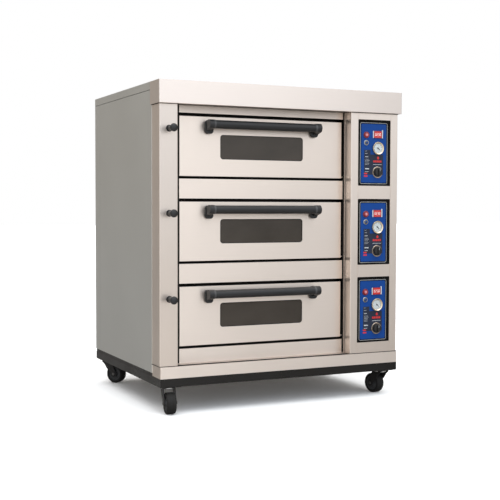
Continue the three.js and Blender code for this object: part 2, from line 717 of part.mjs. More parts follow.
function needleGeometry() {
  const back = DIAL_FRONT - GAP;
  const hub = rodAlongY(NEEDLE_HUB_RADIUS, back - 2 * NEEDLE_THICKNESS, back, 0, 0, SMALL_SIDES);
  const outline = new THREE.Shape();
  outline.moveTo(-1.2, -NEEDLE_TAIL);
  outline.lineTo(1.2, -NEEDLE_TAIL);
  outline.lineTo(0.4, NEEDLE_LENGTH);
  outline.lineTo(-0.4, NEEDLE_LENGTH);
  outline.closePath();
  return joined([hub, standingPlate(outline, back - NEEDLE_THICKNESS, back, 0, 0, 1)]);
}

function thermostatKnobGeometry() {
  const face = -KNOB_RING_FRONT + GAP;
  const body = turnedForward([
    [0, face], [KNOB_RADIUS - 1, face], [KNOB_RADIUS, face + 1], [KNOB_RADIUS - 2, -KNOB_FRONT - 2],
    [KNOB_RADIUS - 4, -KNOB_FRONT], [0, -KNOB_FRONT],
  ], BAR_SIDES);
  const reach = KNOB_GRIP_WIDTH / 2;
  const length = KNOB_RADIUS - 4;
  const grip = block(-reach, reach, KNOB_GRIP_FRONT, KNOB_FRONT + CUT_MARGIN, -length, length);
  const spindle = rodAlongY(AXLE_RADIUS, KNOB_RING_FRONT - CUT_MARGIN, BUTTON_BACK, 0, 0, SMALL_SIDES);
  return joined([body, grip, spindle]);
}

function buttonGeometry(radius, front) {
  return turnedForward([
    [0, -BUTTON_BACK], [radius, -BUTTON_BACK], [radius, -front - 2],
    [radius - 2, -front - 0.5], [0, -front],
  ], SMALL_SIDES);
}

function damperRodGeometry() {
  const neck = -DAMPER_FRONT - 16;
  return turnedForward([
    [0, -DAMPER_INNER_END], [DAMPER_SHANK_RADIUS, -DAMPER_INNER_END], [DAMPER_SHANK_RADIUS, neck - 4],
    [DAMPER_HEAD_RADIUS - 3, neck], [DAMPER_HEAD_RADIUS, neck + 4], [DAMPER_HEAD_RADIUS, neck + 9],
    [DAMPER_HEAD_RADIUS - 4, neck + 14], [0, -DAMPER_FRONT],
  ], BAR_SIDES);
}

// ---- Casters, built around the swivel axis with the wheel trailing towards -Y ----

const AXLE_HEIGHT = WHEEL_RADIUS * Math.cos(Math.PI / WHEEL_FACETS);

function casterForkGeometry() {
  const top = CASTER_PLATE_BOTTOM - GAP;
  const outer = FORK_INNER + FORK_LEG;
  const head = rodAlongZ(FORK_HEAD_RADIUS, FORK_CROWN_BOTTOM, top, 0, 0, BAR_SIDES);
  const reach = FORK_HEAD_RADIUS - FORK_CROWN_INSET;
  const shoulder = top - FORK_TOP_STEP;
  const crown = block(-outer, outer, -reach, reach, FORK_HEAD_BOTTOM, shoulder);
  const legShape = new THREE.Shape();
  legShape.moveTo(reach, shoulder);
  legShape.lineTo(-reach, shoulder);
  legShape.absarc(-CASTER_TRAIL, AXLE_HEIGHT, FORK_EYE_RADIUS, HALF_TURN, HALF_TURN + FORK_EYE_SWEEP, false);
  legShape.closePath();
  const legs = [-outer, FORK_INNER].map((left) => sideSection(legShape, left, left + FORK_LEG, 8));
  const axle = rodAlongX(AXLE_RADIUS, -outer, outer, -CASTER_TRAIL, AXLE_HEIGHT, SMALL_SIDES);
  const bolts = [-outer - BOLT_LENGTH, outer - 1].map((left) => (
    rodAlongX(BOLT_RADIUS, left, left + BOLT_LENGTH + 1, -CASTER_TRAIL, AXLE_HEIGHT, BOLT_SIDES)
  ));
  const tunnel = block(-FORK_INNER, FORK_INNER, -FORK_HEAD_RADIUS, FORK_HEAD_RADIUS, 0, FORK_CROWN_BOTTOM);
  return joined([head, cut(crown, [tunnel]), ...legs, axle, ...bolts]);
}

function casterWheelGeometry() {
  const flank = WHEEL_HALF_WIDTH;
  const hub = WHEEL_HUB_HALF_WIDTH;
  const half = [
    [AXLE_BORE, hub], [16, hub], [18, flank - 4], [34, flank - 4], [37, flank], [44, flank - 1],
    [WHEEL_RADIUS, flank - 7],
  ];
  const mirrored = half.map(([radius, distance]) => [radius, -distance]).reverse();
  const profile = [...half, ...mirrored, half[0]].reverse();
  return turnedForward(profile, WHEEL_FACETS).rotateY(Math.PI / WHEEL_FACETS).rotateZ(QUARTER_TURN);
}

// ---- Materials ----

function material(color, roughness, metalness) {
  return new THREE.MeshStandardMaterial({ color, roughness, metalness });
}

const champagneSteel = () => material(0xd6cabf, 0.38, 0.75);
const satinSteel = () => material(0x9b978f, 0.5, 0.7);
const galvanisedSteel = () => material(0x8f918f, 0.55, 0.6);
const blackFrame = () => material(0x2b2a2a, 0.6, 0.2);
const linerSteel = () => material(0x6e6963, 0.5, 0.75);
const hearthStone = () => material(0xb8ab98, 0.9, 0);
const elementSteel = () => material(0x4a423c, 0.6, 0.5);
const windowGlass = () => material(0x4e4b48, 0.12, 0);
const blackPlastic = () => material(0x1c1b1c, 0.4, 0);
const blueFace = () => material(0x2452a0, 0.35, 0);
const needleRed = () => material(0x8a1f1c, 0.4, 0);
const redLens = () => material(0xa81f24, 0.25, 0);
const paleCap = () => material(0xb9bdc2, 0.3, 0.4);
const forkSteel = () => material(0x242323, 0.5, 0.3);
const wheelRubber = () => material(0x2a2928, 0.75, 0);

// ---- Assembly ----

const group = new THREE.Group();

function place(name, geometry, finish, x = 0, y = 0, z = 0) {
  const mesh = new THREE.Mesh(geometry, finish);
  mesh.name = name;
  mesh.position.set(x, y, z);
  group.add(mesh);
  return mesh;
}

place('base_frame', baseFrameGeometry(), blackFrame());
place('left_side_panel', sidePanelGeometry(-1), satinSteel());
place('right_side_panel', sidePanelGeometry(1), satinSteel());
place('back_panel', backPanelGeometry(), galvanisedSteel());
place('top_cover', topCoverGeometry(), satinSteel());
place('front_hood', frontHoodGeometry(), champagneSteel());
place('bottom_skirt', bottomSkirtGeometry(), champagneSteel());
place('left_column', leftColumnGeometry(), champagneSteel());
place('control_column', controlColumnGeometry(), champagneSteel());
place('door_surround', doorSurroundGeometry(), champagneSteel());

DOOR_LOWER_EDGES.forEach((edge, index) => {
  const deck = index + 1;
  const middle = DOOR_CENTRE_X;
  place(`chamber_${deck}`, chamberGeometry(edge), linerSteel());
  place(`hearth_${deck}`, hearthGeometry(), hearthStone(), middle, 0, edge);
  place(`upper_element_${deck}`, elementGeometry(), elementSteel(), middle, 0, edge + UPPER_ELEMENT_BOTTOM);
  place(`lower_element_${deck}`, elementGeometry(), elementSteel(), middle, 0, edge + LOWER_ELEMENT_BOTTOM);
  place(`door_${deck}_outer_panel`, outerPanelGeometry(), champagneSteel(), middle, 0, edge);
  place(`door_${deck}_inner_panel`, innerPanelGeometry(), linerSteel(), middle, 0, edge);
  place(`door_${deck}_glass`, glassGeometry(), windowGlass(), middle, 0, edge);
  place(`handle_${deck}`, handleGeometry(), blackPlastic(), middle, 0, edge);
});

PANEL_HEIGHTS.forEach((height, index) => {
  const deck = index + 1;
  const dialX = PANEL_X + DIAL_OFFSET_X;
  const buttonX = PANEL_X + BUTTON_OFFSET_X;
  place(`control_panel_${deck}`, controlPanelGeometry(), blueFace(), PANEL_X, 0, height);
  const needle = place(
    `gauge_needle_${deck}`, needleGeometry(), needleRed(), dialX, 0, height + GAUGE_OFFSET_Z,
  );
  needle.rotation.y = THREE.MathUtils.degToRad(NEEDLE_REST_ANGLE);
  place(`thermostat_knob_${deck}`, thermostatKnobGeometry(), blackPlastic(), dialX, 0, height + KNOB_OFFSET_Z);
  const power = buttonGeometry(POWER_RADIUS, POWER_FRONT);
  place(`power_button_${deck}`, power, redLens(), buttonX, 0, height + POWER_OFFSET_Z);
  const light = buttonGeometry(LIGHT_RADIUS, LIGHT_FRONT);
  place(`light_switch_${deck}`, light, paleCap(), buttonX, 0, height + LIGHT_OFFSET_Z);
});

DAMPER_HEIGHTS.forEach((height, index) => {
  place(`damper_rod_${index + 1}`, damperRodGeometry(), blackPlastic(), DAMPER_X, 0, height);
});

CASTERS.forEach(({ name, side, y, yaw }) => {
  const swivel = new THREE.Group();
  swivel.position.set(side * CASTER_X, y, 0);
  swivel.rotation.z = THREE.MathUtils.degToRad(yaw);
  group.add(swivel);
  const fork = place(`caster_fork_${name}`, casterForkGeometry(), forkSteel());
  const wheel = place(
    `caster_wheel_${name}`, casterWheelGeometry(), wheelRubber(), 0, -CASTER_TRAIL, AXLE_HEIGHT,
  );
  swivel.add(fork, wheel);
});

group.position.y = -(DAMPER_FRONT + OUTLET_BACK) / 2;

export default group;
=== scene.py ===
"""Looks of the three-deck bakery oven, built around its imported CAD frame.

Metres, +X to the right seen from the front, +Y to the back, +Z up. The doors face -Y.
"""

import json
import math
import random

import bpy
from mathutils import Matrix, Vector


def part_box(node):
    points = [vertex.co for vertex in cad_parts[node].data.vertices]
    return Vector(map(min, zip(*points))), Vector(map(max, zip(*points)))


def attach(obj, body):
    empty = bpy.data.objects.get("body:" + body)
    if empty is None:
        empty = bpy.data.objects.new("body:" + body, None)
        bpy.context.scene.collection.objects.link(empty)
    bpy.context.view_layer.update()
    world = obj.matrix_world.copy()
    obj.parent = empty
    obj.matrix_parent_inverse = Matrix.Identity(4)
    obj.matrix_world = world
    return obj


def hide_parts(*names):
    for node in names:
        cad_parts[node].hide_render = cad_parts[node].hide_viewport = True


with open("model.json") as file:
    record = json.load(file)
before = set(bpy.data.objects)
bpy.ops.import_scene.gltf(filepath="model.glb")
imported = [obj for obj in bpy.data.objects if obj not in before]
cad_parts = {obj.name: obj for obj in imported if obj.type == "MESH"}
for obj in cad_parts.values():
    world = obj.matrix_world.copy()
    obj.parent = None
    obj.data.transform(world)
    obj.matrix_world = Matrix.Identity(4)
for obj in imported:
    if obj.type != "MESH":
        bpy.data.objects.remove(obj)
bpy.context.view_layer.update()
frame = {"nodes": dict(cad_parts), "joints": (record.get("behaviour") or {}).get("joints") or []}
NODES = frame["nodes"]
DECKS = (1, 2, 3)
MM = 0.001
SEED = 11

# ---- colours (linear)

CHAMPAGNE = (0.80, 0.70, 0.62)
HOOD_CHAMPAGNE = (0.785, 0.70, 0.64)
SATIN = (0.68, 0.68, 0.65)
GALVANISED = (0.52, 0.53, 0.53)
LINER = (0.30, 0.27, 0.235)
BLACK_PAINT = (0.009, 0.0074, 0.0060)
BLACK_PLASTIC = (0.018, 0.0175, 0.018)
PANEL_BLACK = (0.006, 0.0055, 0.005)
PANEL_BLUE = (0.005, 0.052, 0.245)
LEGEND_NAVY = (0.018, 0.024, 0.045)
BRASS = (0.80, 0.66, 0.48)
DIAL_WHITE = (0.86, 0.88, 0.88)
INK = (0.03, 0.03, 0.035)
PALE_INK = (0.62, 0.64, 0.66)
RED = (0.62, 0.018, 0.018)
DEEP_RED = (0.20, 0.008, 0.010)
STONE = (0.47, 0.41, 0.33)
ELEMENT = (0.085, 0.07, 0.06)
RUBBER = (0.018, 0.017, 0.016)
HUB_GREY = (0.06, 0.06, 0.06)
SMOKED_GLASS = (0.044, 0.036, 0.029)
WARM_REFLECTION = (1.0, 0.92, 0.84)
# black for painted shade: blackened returns in the gaps and the dark strips that stand in for shadow lines
PAINTED_SHADE_BLACK = (0.012, 0.011, 0.010)
BRUSHED_ANISOTROPY = 0.65
UP_AND_DOWN = 0.25
SIDE_TO_SIDE = 0.0
FINE = 0.2 * MM
FLOOR = (0.94, 0.94, 0.935)
FLOOR_BOUNCE = (0.55, 0.54, 0.525)
BOUNCE_FALL = 0.35
FLOOR_GLOW = (1.0, 0.93, 0.86)
FLOOR_GLOW_STRENGTH = 0.065


# ---- shader helpers


LOOKS = {}


def new_node(tree, kind):
    return tree.nodes.new(f"ShaderNode{kind}")


def new_shader(name):
    """New material under its name in LOOKS; gives its node tree and surface shader."""
    material = bpy.data.materials.new(name)
    material.use_nodes = True
    LOOKS[name] = material
    tree = material.node_tree
    tree.nodes.clear()
    output = new_node(tree, "OutputMaterial")
    surface = new_node(tree, "BsdfPrincipled")
    tree.links.new(surface.outputs["BSDF"], output.inputs["Surface"])
    return tree, surface


def fill(node, values):
    """Sets unlinked inputs of a node by name."""
    for name, value in values.items():
        node.inputs[name].default_value = value


def noise_pattern(tree, scale, detail=2.0):
    """Noise in object space; scale is the cells per metre, one number or one for each of X, Y, Z."""
    where = new_node(tree, "TexCoord")
    stretch = new_node(tree, "Mapping")
    fill(stretch, {"Scale": scale if isinstance(scale, tuple) else (scale, scale, scale)})
    noise = new_node(tree, "TexNoise")
    fill(noise, {"Scale": 1.0, "Detail": detail})
    tree.links.new(where.outputs["Object"], stretch.inputs["Vector"])
    tree.links.new(stretch.outputs["Vector"], noise.inputs["Vector"])
    return noise.outputs["Fac"]


def remapped(tree, value, low, high, start=0.3, end=0.7):
    """Takes a value from the range start to end over to low to high."""
    node = new_node(tree, "MapRange")
    fill(node, {"From Min": start, "From Max": end, "To Min": low, "To Max": high})
    tree.links.new(value, node.inputs["Value"])
    return node.outputs["Result"]


def averaged(tree, first, second, share):
    node = new_node(tree, "Mix")
    node.data_type = "FLOAT"
    node.inputs[0].default_value = share
    tree.links.new(first, node.inputs[2])
    tree.links.new(second, node.inputs[3])
    return node.outputs[0]


def mixed(tree, factor, first, second):
    """Goes from the first colour to the second with a factor; each is a colour or a node's output."""
    node = new_node(tree, "Mix")
    node.data_type = "RGBA"
    tree.links.new(factor, node.inputs[0])
    for socket, colour in ((node.inputs[6], first), (node.inputs[7], second)):
        if isinstance(colour, tuple):
            socket.default_value = (*colour, 1.0)
        else:
            tree.links.new(colour, socket)
    return node.outputs[2]


def scaled(colour, factor):
    return tuple(min(1.0, channel * factor) for channel in colour)


def mottled(tree, pattern, colour, dark, light):
    """A colour that goes from darker to lighter with a pattern."""
    tone = remapped(tree, pattern, 0.0, 1.0)
    return mixed(tree, tone, scaled(colour, dark), scaled(colour, light))


def set_roughness(tree, surface, pattern, low, high):
    """Roughness that follows a pattern from low to high."""
    tree.links.new(remapped(tree, pattern, low, high), surface.inputs["Roughness"])


def add_bump(tree, surface, height, strength, distance):
    bump = new_node(tree, "Bump")
    fill(bump, {"Strength": strength, "Distance": distance})
    tree.links.new(height, bump.inputs["Height"])
    tree.links.new(bump.outputs["Normal"], surface.inputs["Normal"])


def behind_plane(tree, start, end):
    """0 in front of the plane Y = start and 1 behind Y = end, in object space."""
    where = new_node(tree, "TexCoord")
    parts = new_node(tree, "SeparateXYZ")
    tree.links.new(where.outputs["Object"], parts.inputs[0])
    return remapped(tree, parts.outputs["Y"], 0.0, 1.0, start, end)


def brushed_metal(
    name, colour, roughness, grain, variation=0.03, metallic=1.0, cloud=2.2, bump=0.06, black=None,
    spread=None,
):
    """Metal with fine scratches along one direction and soft handling marks over them.

    black is a pair of depths: behind the first the metal is painted darker, to black at the second; this is
    painted shade for the gaps and recesses behind a face.
    spread is the direction in which the scratches blur a reflection: 0.25 is up and down.
    """
    tree, surface = new_shader(name)
    streaks = noise_pattern(tree, grain, 3.0)
    marks = noise_pattern(tree, cloud, 4.0)
    blend = averaged(tree, streaks, marks, 0.5)
    tint = mottled(tree, blend, colour, 1.0 - variation, 1.0 + variation)
    # painted shade: surfaces behind the face plane turn black, standing in for the shade in the gaps
    if black:
        tint = mixed(tree, behind_plane(tree, *black), tint, PAINTED_SHADE_BLACK)
    fill(surface, {"Metallic": metallic})
    tree.links.new(tint, surface.inputs["Base Color"])
    set_roughness(tree, surface, blend, roughness - 0.05, roughness + 0.05)
    add_bump(tree, surface, streaks, bump, FINE)
    if spread is not None:
        around = new_node(tree, "Tangent")
        around.direction_type = "RADIAL"
        around.axis = "Z"
        tree.links.new(around.outputs["Tangent"], surface.inputs["Tangent"])
        fill(surface, {"Anisotropic": BRUSHED_ANISOTROPY, "Anisotropic Rotation": spread})


def moulded(name, colour, roughness, cells=900.0, bump=0.15, coat=0.0, variation=0.12, specular=0.5):
    """Moulded plastic, rubber or paint with a fine even texture and slight wear."""
    tree, surface = new_shader(name)
    texture = noise_pattern(tree, cells, 2.0)
    wear = noise_pattern(tree, 9.0, 5.0)
    blend = averaged(tree, texture, wear, 0.7)
    tint = mottled(tree, blend, colour, 1.0 - variation, 1.0 + variation)
    tree.links.new(tint, surface.inputs["Base Color"])
    set_roughness(tree, surface, wear, roughness - 0.05, roughness + 0.08)
    fill(surface, {"Specular IOR Level": specular, "Coat Weight": coat, "Coat Roughness": 0.08})
    add_bump(tree, surface, texture, bump, FINE)


def smoked_glass(name):
    """Dark glass with a little soot and a warm reflection."""
    tree, surface = new_shader(name)
    soot = noise_pattern(tree, (6.0, 6.0, 9.0), 4.0)
    tree.links.new(mottled(tree, soot, SMOKED_GLASS, 0.85, 1.15), surface.inputs["Base Color"])
    set_roughness(tree, surface, soot, 0.10, 0.18)
    fill(surface, {"IOR": 1.45, "Specular Tint": (*WARM_REFLECTION, 1.0)})


def baked_stone(name):
    """Gritty hearth stone with baking stains."""
    tree, surface = new_shader(name)
    grit = noise_pattern(tree, 420.0, 4.0)
    stains = noise_pattern(tree, 5.0, 6.0)
    blend = averaged(tree, grit, stains, 0.55)
    tree.links.new(mottled(tree, blend, STONE, 0.6, 1.15), surface.inputs["Base Color"])
    set_roughness(tree, surface, grit, 0.82, 0.95)
    add_bump(tree, surface, grit, 0.5, 0.6 * MM)


def lit_lens(name, colour, strength):
    """Coloured plastic that glows a little."""
    tree, surface = new_shader(name)
    facets = noise_pattern(tree, 260.0, 1.0)
    tint = mottled(tree, facets, colour, 0.8, 1.2)
    tree.links.new(tint, surface.inputs["Base Color"])
    tree.links.new(tint, surface.inputs["Emission Color"])
    set_roughness(tree, surface, facets, 0.18, 0.28)
    fill(surface, {"Emission Strength": strength, "Coat Weight": 0.6, "Coat Roughness": 0.05})


def clear_glass(name):
    """Clear glass with a trace of dust."""
    tree, surface = new_shader(name)
    set_roughness(tree, surface, noise_pattern(tree, 300.0, 3.0), 0.02, 0.07)
    fill(surface, {"Base Color": (0.95, 0.97, 0.97, 1.0), "Transmission Weight": 1.0, "IOR": 1.2})


ALONG_X = (7.0, 900.0, 900.0)
ALONG_Y = (900.0, 7.0, 900.0)
ALONG_Z = (900.0, 900.0, 7.0)
FACE_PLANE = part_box("door_1_outer_panel")[0][1]
CHAMBER_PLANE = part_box("chamber_1")[0][1]

brushed_metal("champagne_level", CHAMPAGNE, 0.38, ALONG_X, spread=UP_AND_DOWN)
brushed_metal("champagne_upright", CHAMPAGNE, 0.38, ALONG_Z, spread=SIDE_TO_SIDE)
# painted shade: the left column's metal is a copy of the upright champagne painted 7% darker
brushed_metal("shaded_left_upright", scaled(CHAMPAGNE, 0.93), 0.38, ALONG_Z, spread=SIDE_TO_SIDE)
brushed_metal("hood", HOOD_CHAMPAGNE, 0.38, ALONG_X, spread=UP_AND_DOWN)
# painted shade: the door skin's returns behind its face are painted black, for the shade in the door gaps
brushed_metal(
    "door_skin", CHAMPAGNE, 0.38, ALONG_X, spread=UP_AND_DOWN,
    black=(FACE_PLANE + 2.5 * MM, FACE_PLANE + 4.5 * MM),
)
# painted shade: the surround's flanges behind the door face are painted black, for the shade in the door gaps
brushed_metal(
    "surround", CHAMPAGNE, 0.38, ALONG_X, spread=UP_AND_DOWN,
    black=(FACE_PLANE + 4 * MM, FACE_PLANE + 7 * MM),
)
brushed_metal("satin_upright", SATIN, 0.42, ALONG_Z, 0.04)
brushed_metal("satin_level", SATIN, 0.42, ALONG_Y, 0.04)
brushed_metal("galvanised", GALVANISED, 0.5, 28.0, 0.12)
brushed_metal("liner", LINER, 0.45, ALONG_X, 0.22, 1.0, 5.0)
# painted shade: champagne painted down to 60%, for the sheet on top of the skirt where shade falls under the
# door bay
brushed_metal("ledge", scaled(CHAMPAGNE, 0.6), 0.5, ALONG_X)
# painted shade: the chamber's front edge, seen through the door gaps, is painted black, fading back to the
# liner colour 12 mm in
brushed_metal(
    "chamber_liner", LINER, 0.45, ALONG_Y, 0.25, 1.0, 5.0,
    black=(CHAMBER_PLANE + 12 * MM, CHAMBER_PLANE + 4 * MM),
)
brushed_metal("brass", BRASS, 0.26, 300.0, 0.08)
brushed_metal("element", ELEMENT, 0.55, 90.0, 0.3, 0.7)
brushed_metal("fork", (0.032, 0.030, 0.029), 0.42, 60.0, 0.25, 0.6)
brushed_metal("zinc", (0.62, 0.62, 0.6), 0.32, 120.0, 0.12)
brushed_metal("dark_zinc", (0.16, 0.155, 0.15), 0.35, 120.0, 0.2)
brushed_metal("bronze", (0.46, 0.38, 0.31), 0.24, 300.0, 0.1)
moulded("black_paint", BLACK_PAINT, 0.30, 500.0, 0.06, specular=0.3)
moulded("black_plastic", BLACK_PLASTIC, 0.38, 900.0, 0.12, specular=0.35)
moulded("panel_black", PANEL_BLACK, 0.5, 700.0, 0.1, specular=0.05)
moulded("panel_blue", PANEL_BLUE, 0.42, 1200.0, 0.08, variation=0.06, specular=0.16)
moulded("legend_navy", LEGEND_NAVY, 0.45, 1200.0, 0.08, specular=0.25)
moulded("pale_ink", PALE_INK, 0.5, 1500.0, 0.05)
moulded("red_ink", RED, 0.45, 1500.0, 0.05)
moulded("dial_white", DIAL_WHITE, 0.5, 1500.0, 0.03, 0.0, 0.03)
moulded("ink", INK, 0.5, 1500.0, 0.05)
moulded("deep_red", DEEP_RED, 0.3, 600.0, 0.05, 0.5)
moulded("rubber", RUBBER, 0.6, 350.0, 0.3, specular=0.15)
moulded("hub", HUB_GREY, 0.5, 500.0, 0.15, specular=0.3)
# painted shade: flat black for the strips that stand in for shadow lines and shade in the gaps
moulded("seal", PAINTED_SHADE_BLACK, 0.7, 500.0, 0.2, specular=0.1)
moulded("collar", (0.05, 0.049, 0.05), 0.32, 900.0, 0.1)
moulded("needle", (0.05, 0.05, 0.055), 0.4, 900.0, 0.05)
smoked_glass("window_glass")
clear_glass("gauge_glass")
baked_stone("hearth_stone")
lit_lens("red_screen", (0.50, 0.022, 0.020), 0.15)
lit_lens("white_digits", (0.85, 0.74, 0.72), 0.2)
lit_lens("red_lens", (0.26, 0.016, 0.022), 0.08)
# pale glowing centre of the power lamp: partly the lamp's own glow, partly a painted highlight on its lens
lit_lens("pale_lens", (0.55, 0.20, 0.22), 0.15)


# ---- mesh helpers

SMOOTH_LIMIT = math.radians(32.0)


def smoothing_group():
    """Geometry nodes that shade smooth, except across edges sharper than the limit."""
    group = bpy.data.node_groups.new("smooth_by_angle", "GeometryNodeTree")
    group.interface.new_socket("Geometry", in_out="INPUT", socket_type="NodeSocketGeometry")
    group.interface.new_socket("Geometry", in_out="OUTPUT", socket_type="NodeSocketGeometry")
    nodes = group.nodes
    start = nodes.new("NodeGroupInput")
    end = nodes.new("NodeGroupOutput")
    faces = nodes.new("GeometryNodeSetShadeSmooth")
    faces.domain = "FACE"
    edges = nodes.new("GeometryNodeSetShadeSmooth")
    edges.domain = "EDGE"
    edges.inputs["Shade Smooth"].default_value = False
    angle = nodes.new("GeometryNodeInputMeshEdgeAngle")
    sharp = nodes.new("FunctionNodeCompare")
    sharp.operation = "GREATER_THAN"
    sharp.inputs["B"].default_value = SMOOTH_LIMIT
    links = group.links
    links.new(start.outputs[0], faces.inputs["Geometry"])
    links.new(faces.outputs["Geometry"], edges.inputs["Geometry"])
    links.new(angle.outputs["Unsigned Angle"], sharp.inputs["A"])
    links.new(sharp.outputs["Result"], edges.inputs["Selection"])
    links.new(edges.outputs["Geometry"], end.inputs[0])
    return group


SMOOTHING = smoothing_group()


def soften(piece, width, segments=2, weld=False):
    """Rounds the sharp edges of a piece and shades it smooth between them."""
    if weld:
        piece.modifiers.new("weld", "WELD").merge_threshold = 0.00002
    if width:
        bevel = piece.modifiers.new("edge_round", "BEVEL")
        bevel.width = width
        bevel.segments = segments
        bevel.limit_method = "ANGLE"
        bevel.angle_limit = SMOOTH_LIMIT
    piece.modifiers.new("smoothing", "NODES").node_group = SMOOTHING
    flatten = piece.modifiers.new("flat_faces", "WEIGHTED_NORMAL")
    flatten.keep_sharp = True
    flatten.weight = 90


def dress(node, look, width=0.0006, segments=2):
    """Gives a CAD node its material and rounded edges."""
    piece = NODES[node]
    piece.data.materials.clear()
    piece.data.materials.append(LOOKS[look])
    soften(piece, width, segments, weld=True)


def new_object(name, data):
    item = bpy.data.objects.new(name, data)
    bpy.context.scene.collection.objects.link(item)
    return item


def add_piece(name, vertices, faces, look, body, width=0.0, segments=2, place=None):
    mesh = bpy.data.meshes.new(name)
    mesh.from_pydata([tuple(v) for v in vertices], [], faces)
    if place is not None:
        mesh.transform(place)
    mesh.validate()
    mesh.materials.append(LOOKS[look])
    piece = new_object(name, mesh)
    soften(piece, width, segments)
    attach(piece, body)
    return piece


def join_shapes(shapes):
    """Puts several (vertices, faces) shapes into one."""
    vertices = []
    faces = []
    for more_vertices, more_faces in shapes:
        base = len(vertices)
        vertices.extend(more_vertices)
        faces.extend(tuple(base + index for index in face) for face in more_faces)
    return vertices, faces


def moved(shape, place):
    vertices, faces = shape
    return [place @ Vector(v) for v in vertices], faces


def millimetres(*points):
    """Profile points given in millimetres, in metres."""
    return [(across * MM, along * MM) for across, along in points]


def raised(profile, rise):
    """A profile with every height raised."""
    return [(radius, rise + height) for radius, height in profile]


def mirrored(half):
    """A half profile followed by its mirror image across height zero."""
    return half + [(across, -along) for across, along in reversed(half)]


def box_shape(low, high):
    xs, ys, zs = zip(low, high)
    vertices = [(x, y, z) for x in xs for y in ys for z in zs]
    faces = [(0, 1, 3, 2), (4, 6, 7, 5), (0, 4, 5, 1), (2, 3, 7, 6), (0, 2, 6, 4), (1, 5, 7, 3)]
    return vertices, faces


def arc(centre, radius, start, sweep, steps):
    """Points from one angle on round a centre, in degrees, both ends included."""
    points = []
    for step in range(steps + 1):
        angle = math.radians(start + sweep * step / steps)
        points.append((centre[0] + radius * math.cos(angle), centre[1] + radius * math.sin(angle)))
    return points


def rounded_outline(width, height, radius, steps=6, centre=(0.0, 0.0)):
    """Counterclockwise outline of a rectangle with round corners."""
    points = []
    corners = [(1, -1, -90), (1, 1, 0), (-1, 1, 90), (-1, -1, 180)]
    for side_u, side_v, start in corners:
        middle_u = centre[0] + side_u * (width / 2 - radius)
        middle_v = centre[1] + side_v * (height / 2 - radius)
        points += arc((middle_u, middle_v), radius, start, 90.0, steps)
    return points


def prism_faces(count):
    """Two ends and the sides between them, for vertices that go round one end, then the other."""
    faces = [tuple(range(count)), tuple(reversed(range(count, 2 * count)))]
    for index in range(count):
        after = (index + 1) % count
        faces.append((index, index + count, after + count, after))
    return faces


def facing_prism(outline, front, back):
    """Prism of an outline drawn in X and Z, from the front plane to the back plane."""
    return [(u, y, v) for y in (front, back) for u, v in outline], prism_faces(len(outline))


def side_prism(outline, left, right):
    """Prism of an outline drawn in Y and Z, from one X to another."""
    return [(x, u, v) for x in (left, right) for u, v in outline], prism_faces(len(outline))


def facing_ring(outer, inner, front, back):
    """Flat ring between two outlines with equally many points."""
    count = len(outer)
    vertices = []
    for outline, depth in ((outer, front), (inner, front), (inner, back), (outer, back)):
        vertices.extend((u, depth, v) for u, v in outline)
    faces = []
    for loop in range(4):
        here = loop * count
        there = ((loop + 1) % 4) * count
        for index in range(count):
            after = (index + 1) % count
            faces.append((here + index, there + index, there + after, here + after))
    return vertices, faces


def turned_shape(profile, segments=48, flutes=None, grooves=0):
    """Solid of revolution about Z from (radius, height) points; ends on the axis or closes.

    flutes says for each point how deep the grooves cut there.
    """
    vertices = []
    rings = []
    for place, (radius, height) in enumerate(profile):
        rings.append([len(vertices)])
        if radius < 1e-7:
            vertices.append((0.0, 0.0, height))
            continue
        depth = flutes[place] if flutes else 0.0
        rings[-1] = list(range(len(vertices), len(vertices) + segments))
        for step in range(segments):
            angle = 2.0 * math.pi * step / segments
            reach = radius - depth * (0.5 - 0.5 * math.cos(angle * grooves))
            vertices.append((reach * math.cos(angle), reach * math.sin(angle), height))
    faces = []
    pairs = list(zip(rings, rings[1:]))
    if profile[0][0] > 1e-7:
        pairs.append((rings[-1], rings[0]))
    for lower, upper in pairs:
        for step in range(segments):
            after = (step + 1) % segments
            corners = [
                lower[step % len(lower)], lower[after % len(lower)],
                upper[after % len(upper)], upper[step % len(upper)],
            ]
            kept = list(dict.fromkeys(corners))
            if len(kept) > 2:
                faces.append(tuple(kept))
    return vertices, faces


def forward_at(x, y, z):
    """Turns a shape's +Z towards the front and puts its origin at a point."""
    return Matrix.Translation((x, y, z)) @ Matrix.Rotation(math.radians(90.0), 4, "X")


def tube_shape(points, radius, sides=12):
    """Round bar along a path of points, closed at both ends."""
    path = [Vector(point) for point in points]
    vertices = []
    count = len(path)
    for index, point in enumerate(path):
        ahead = path[min(index + 1, count - 1)] - path[max(index - 1, 0)]
        side = ahead.cross(Vector((0.0, 0.0, 1.0))).normalized()
        for step in range(sides):
            angle = 2.0 * math.pi * step / sides
            offset = side * math.cos(angle) + Vector((0.0, 0.0, 1.0)) * math.sin(angle)
            vertices.append(point + offset * radius)
    faces = [tuple(range(sides)), tuple(reversed(range((count - 1) * sides, count * sides)))]
    for index in range(count - 1):
        for step in range(sides):
            after = (step + 1) % sides
            low = index * sides
            high = low + sides
            faces.append((low + step, high + step, high + after, low + after))
    return vertices, faces


def middle(node):
    """Middle of a CAD node's box."""
    low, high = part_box(node)
    return (Vector(low) + Vector(high)) / 2


# ---- casing


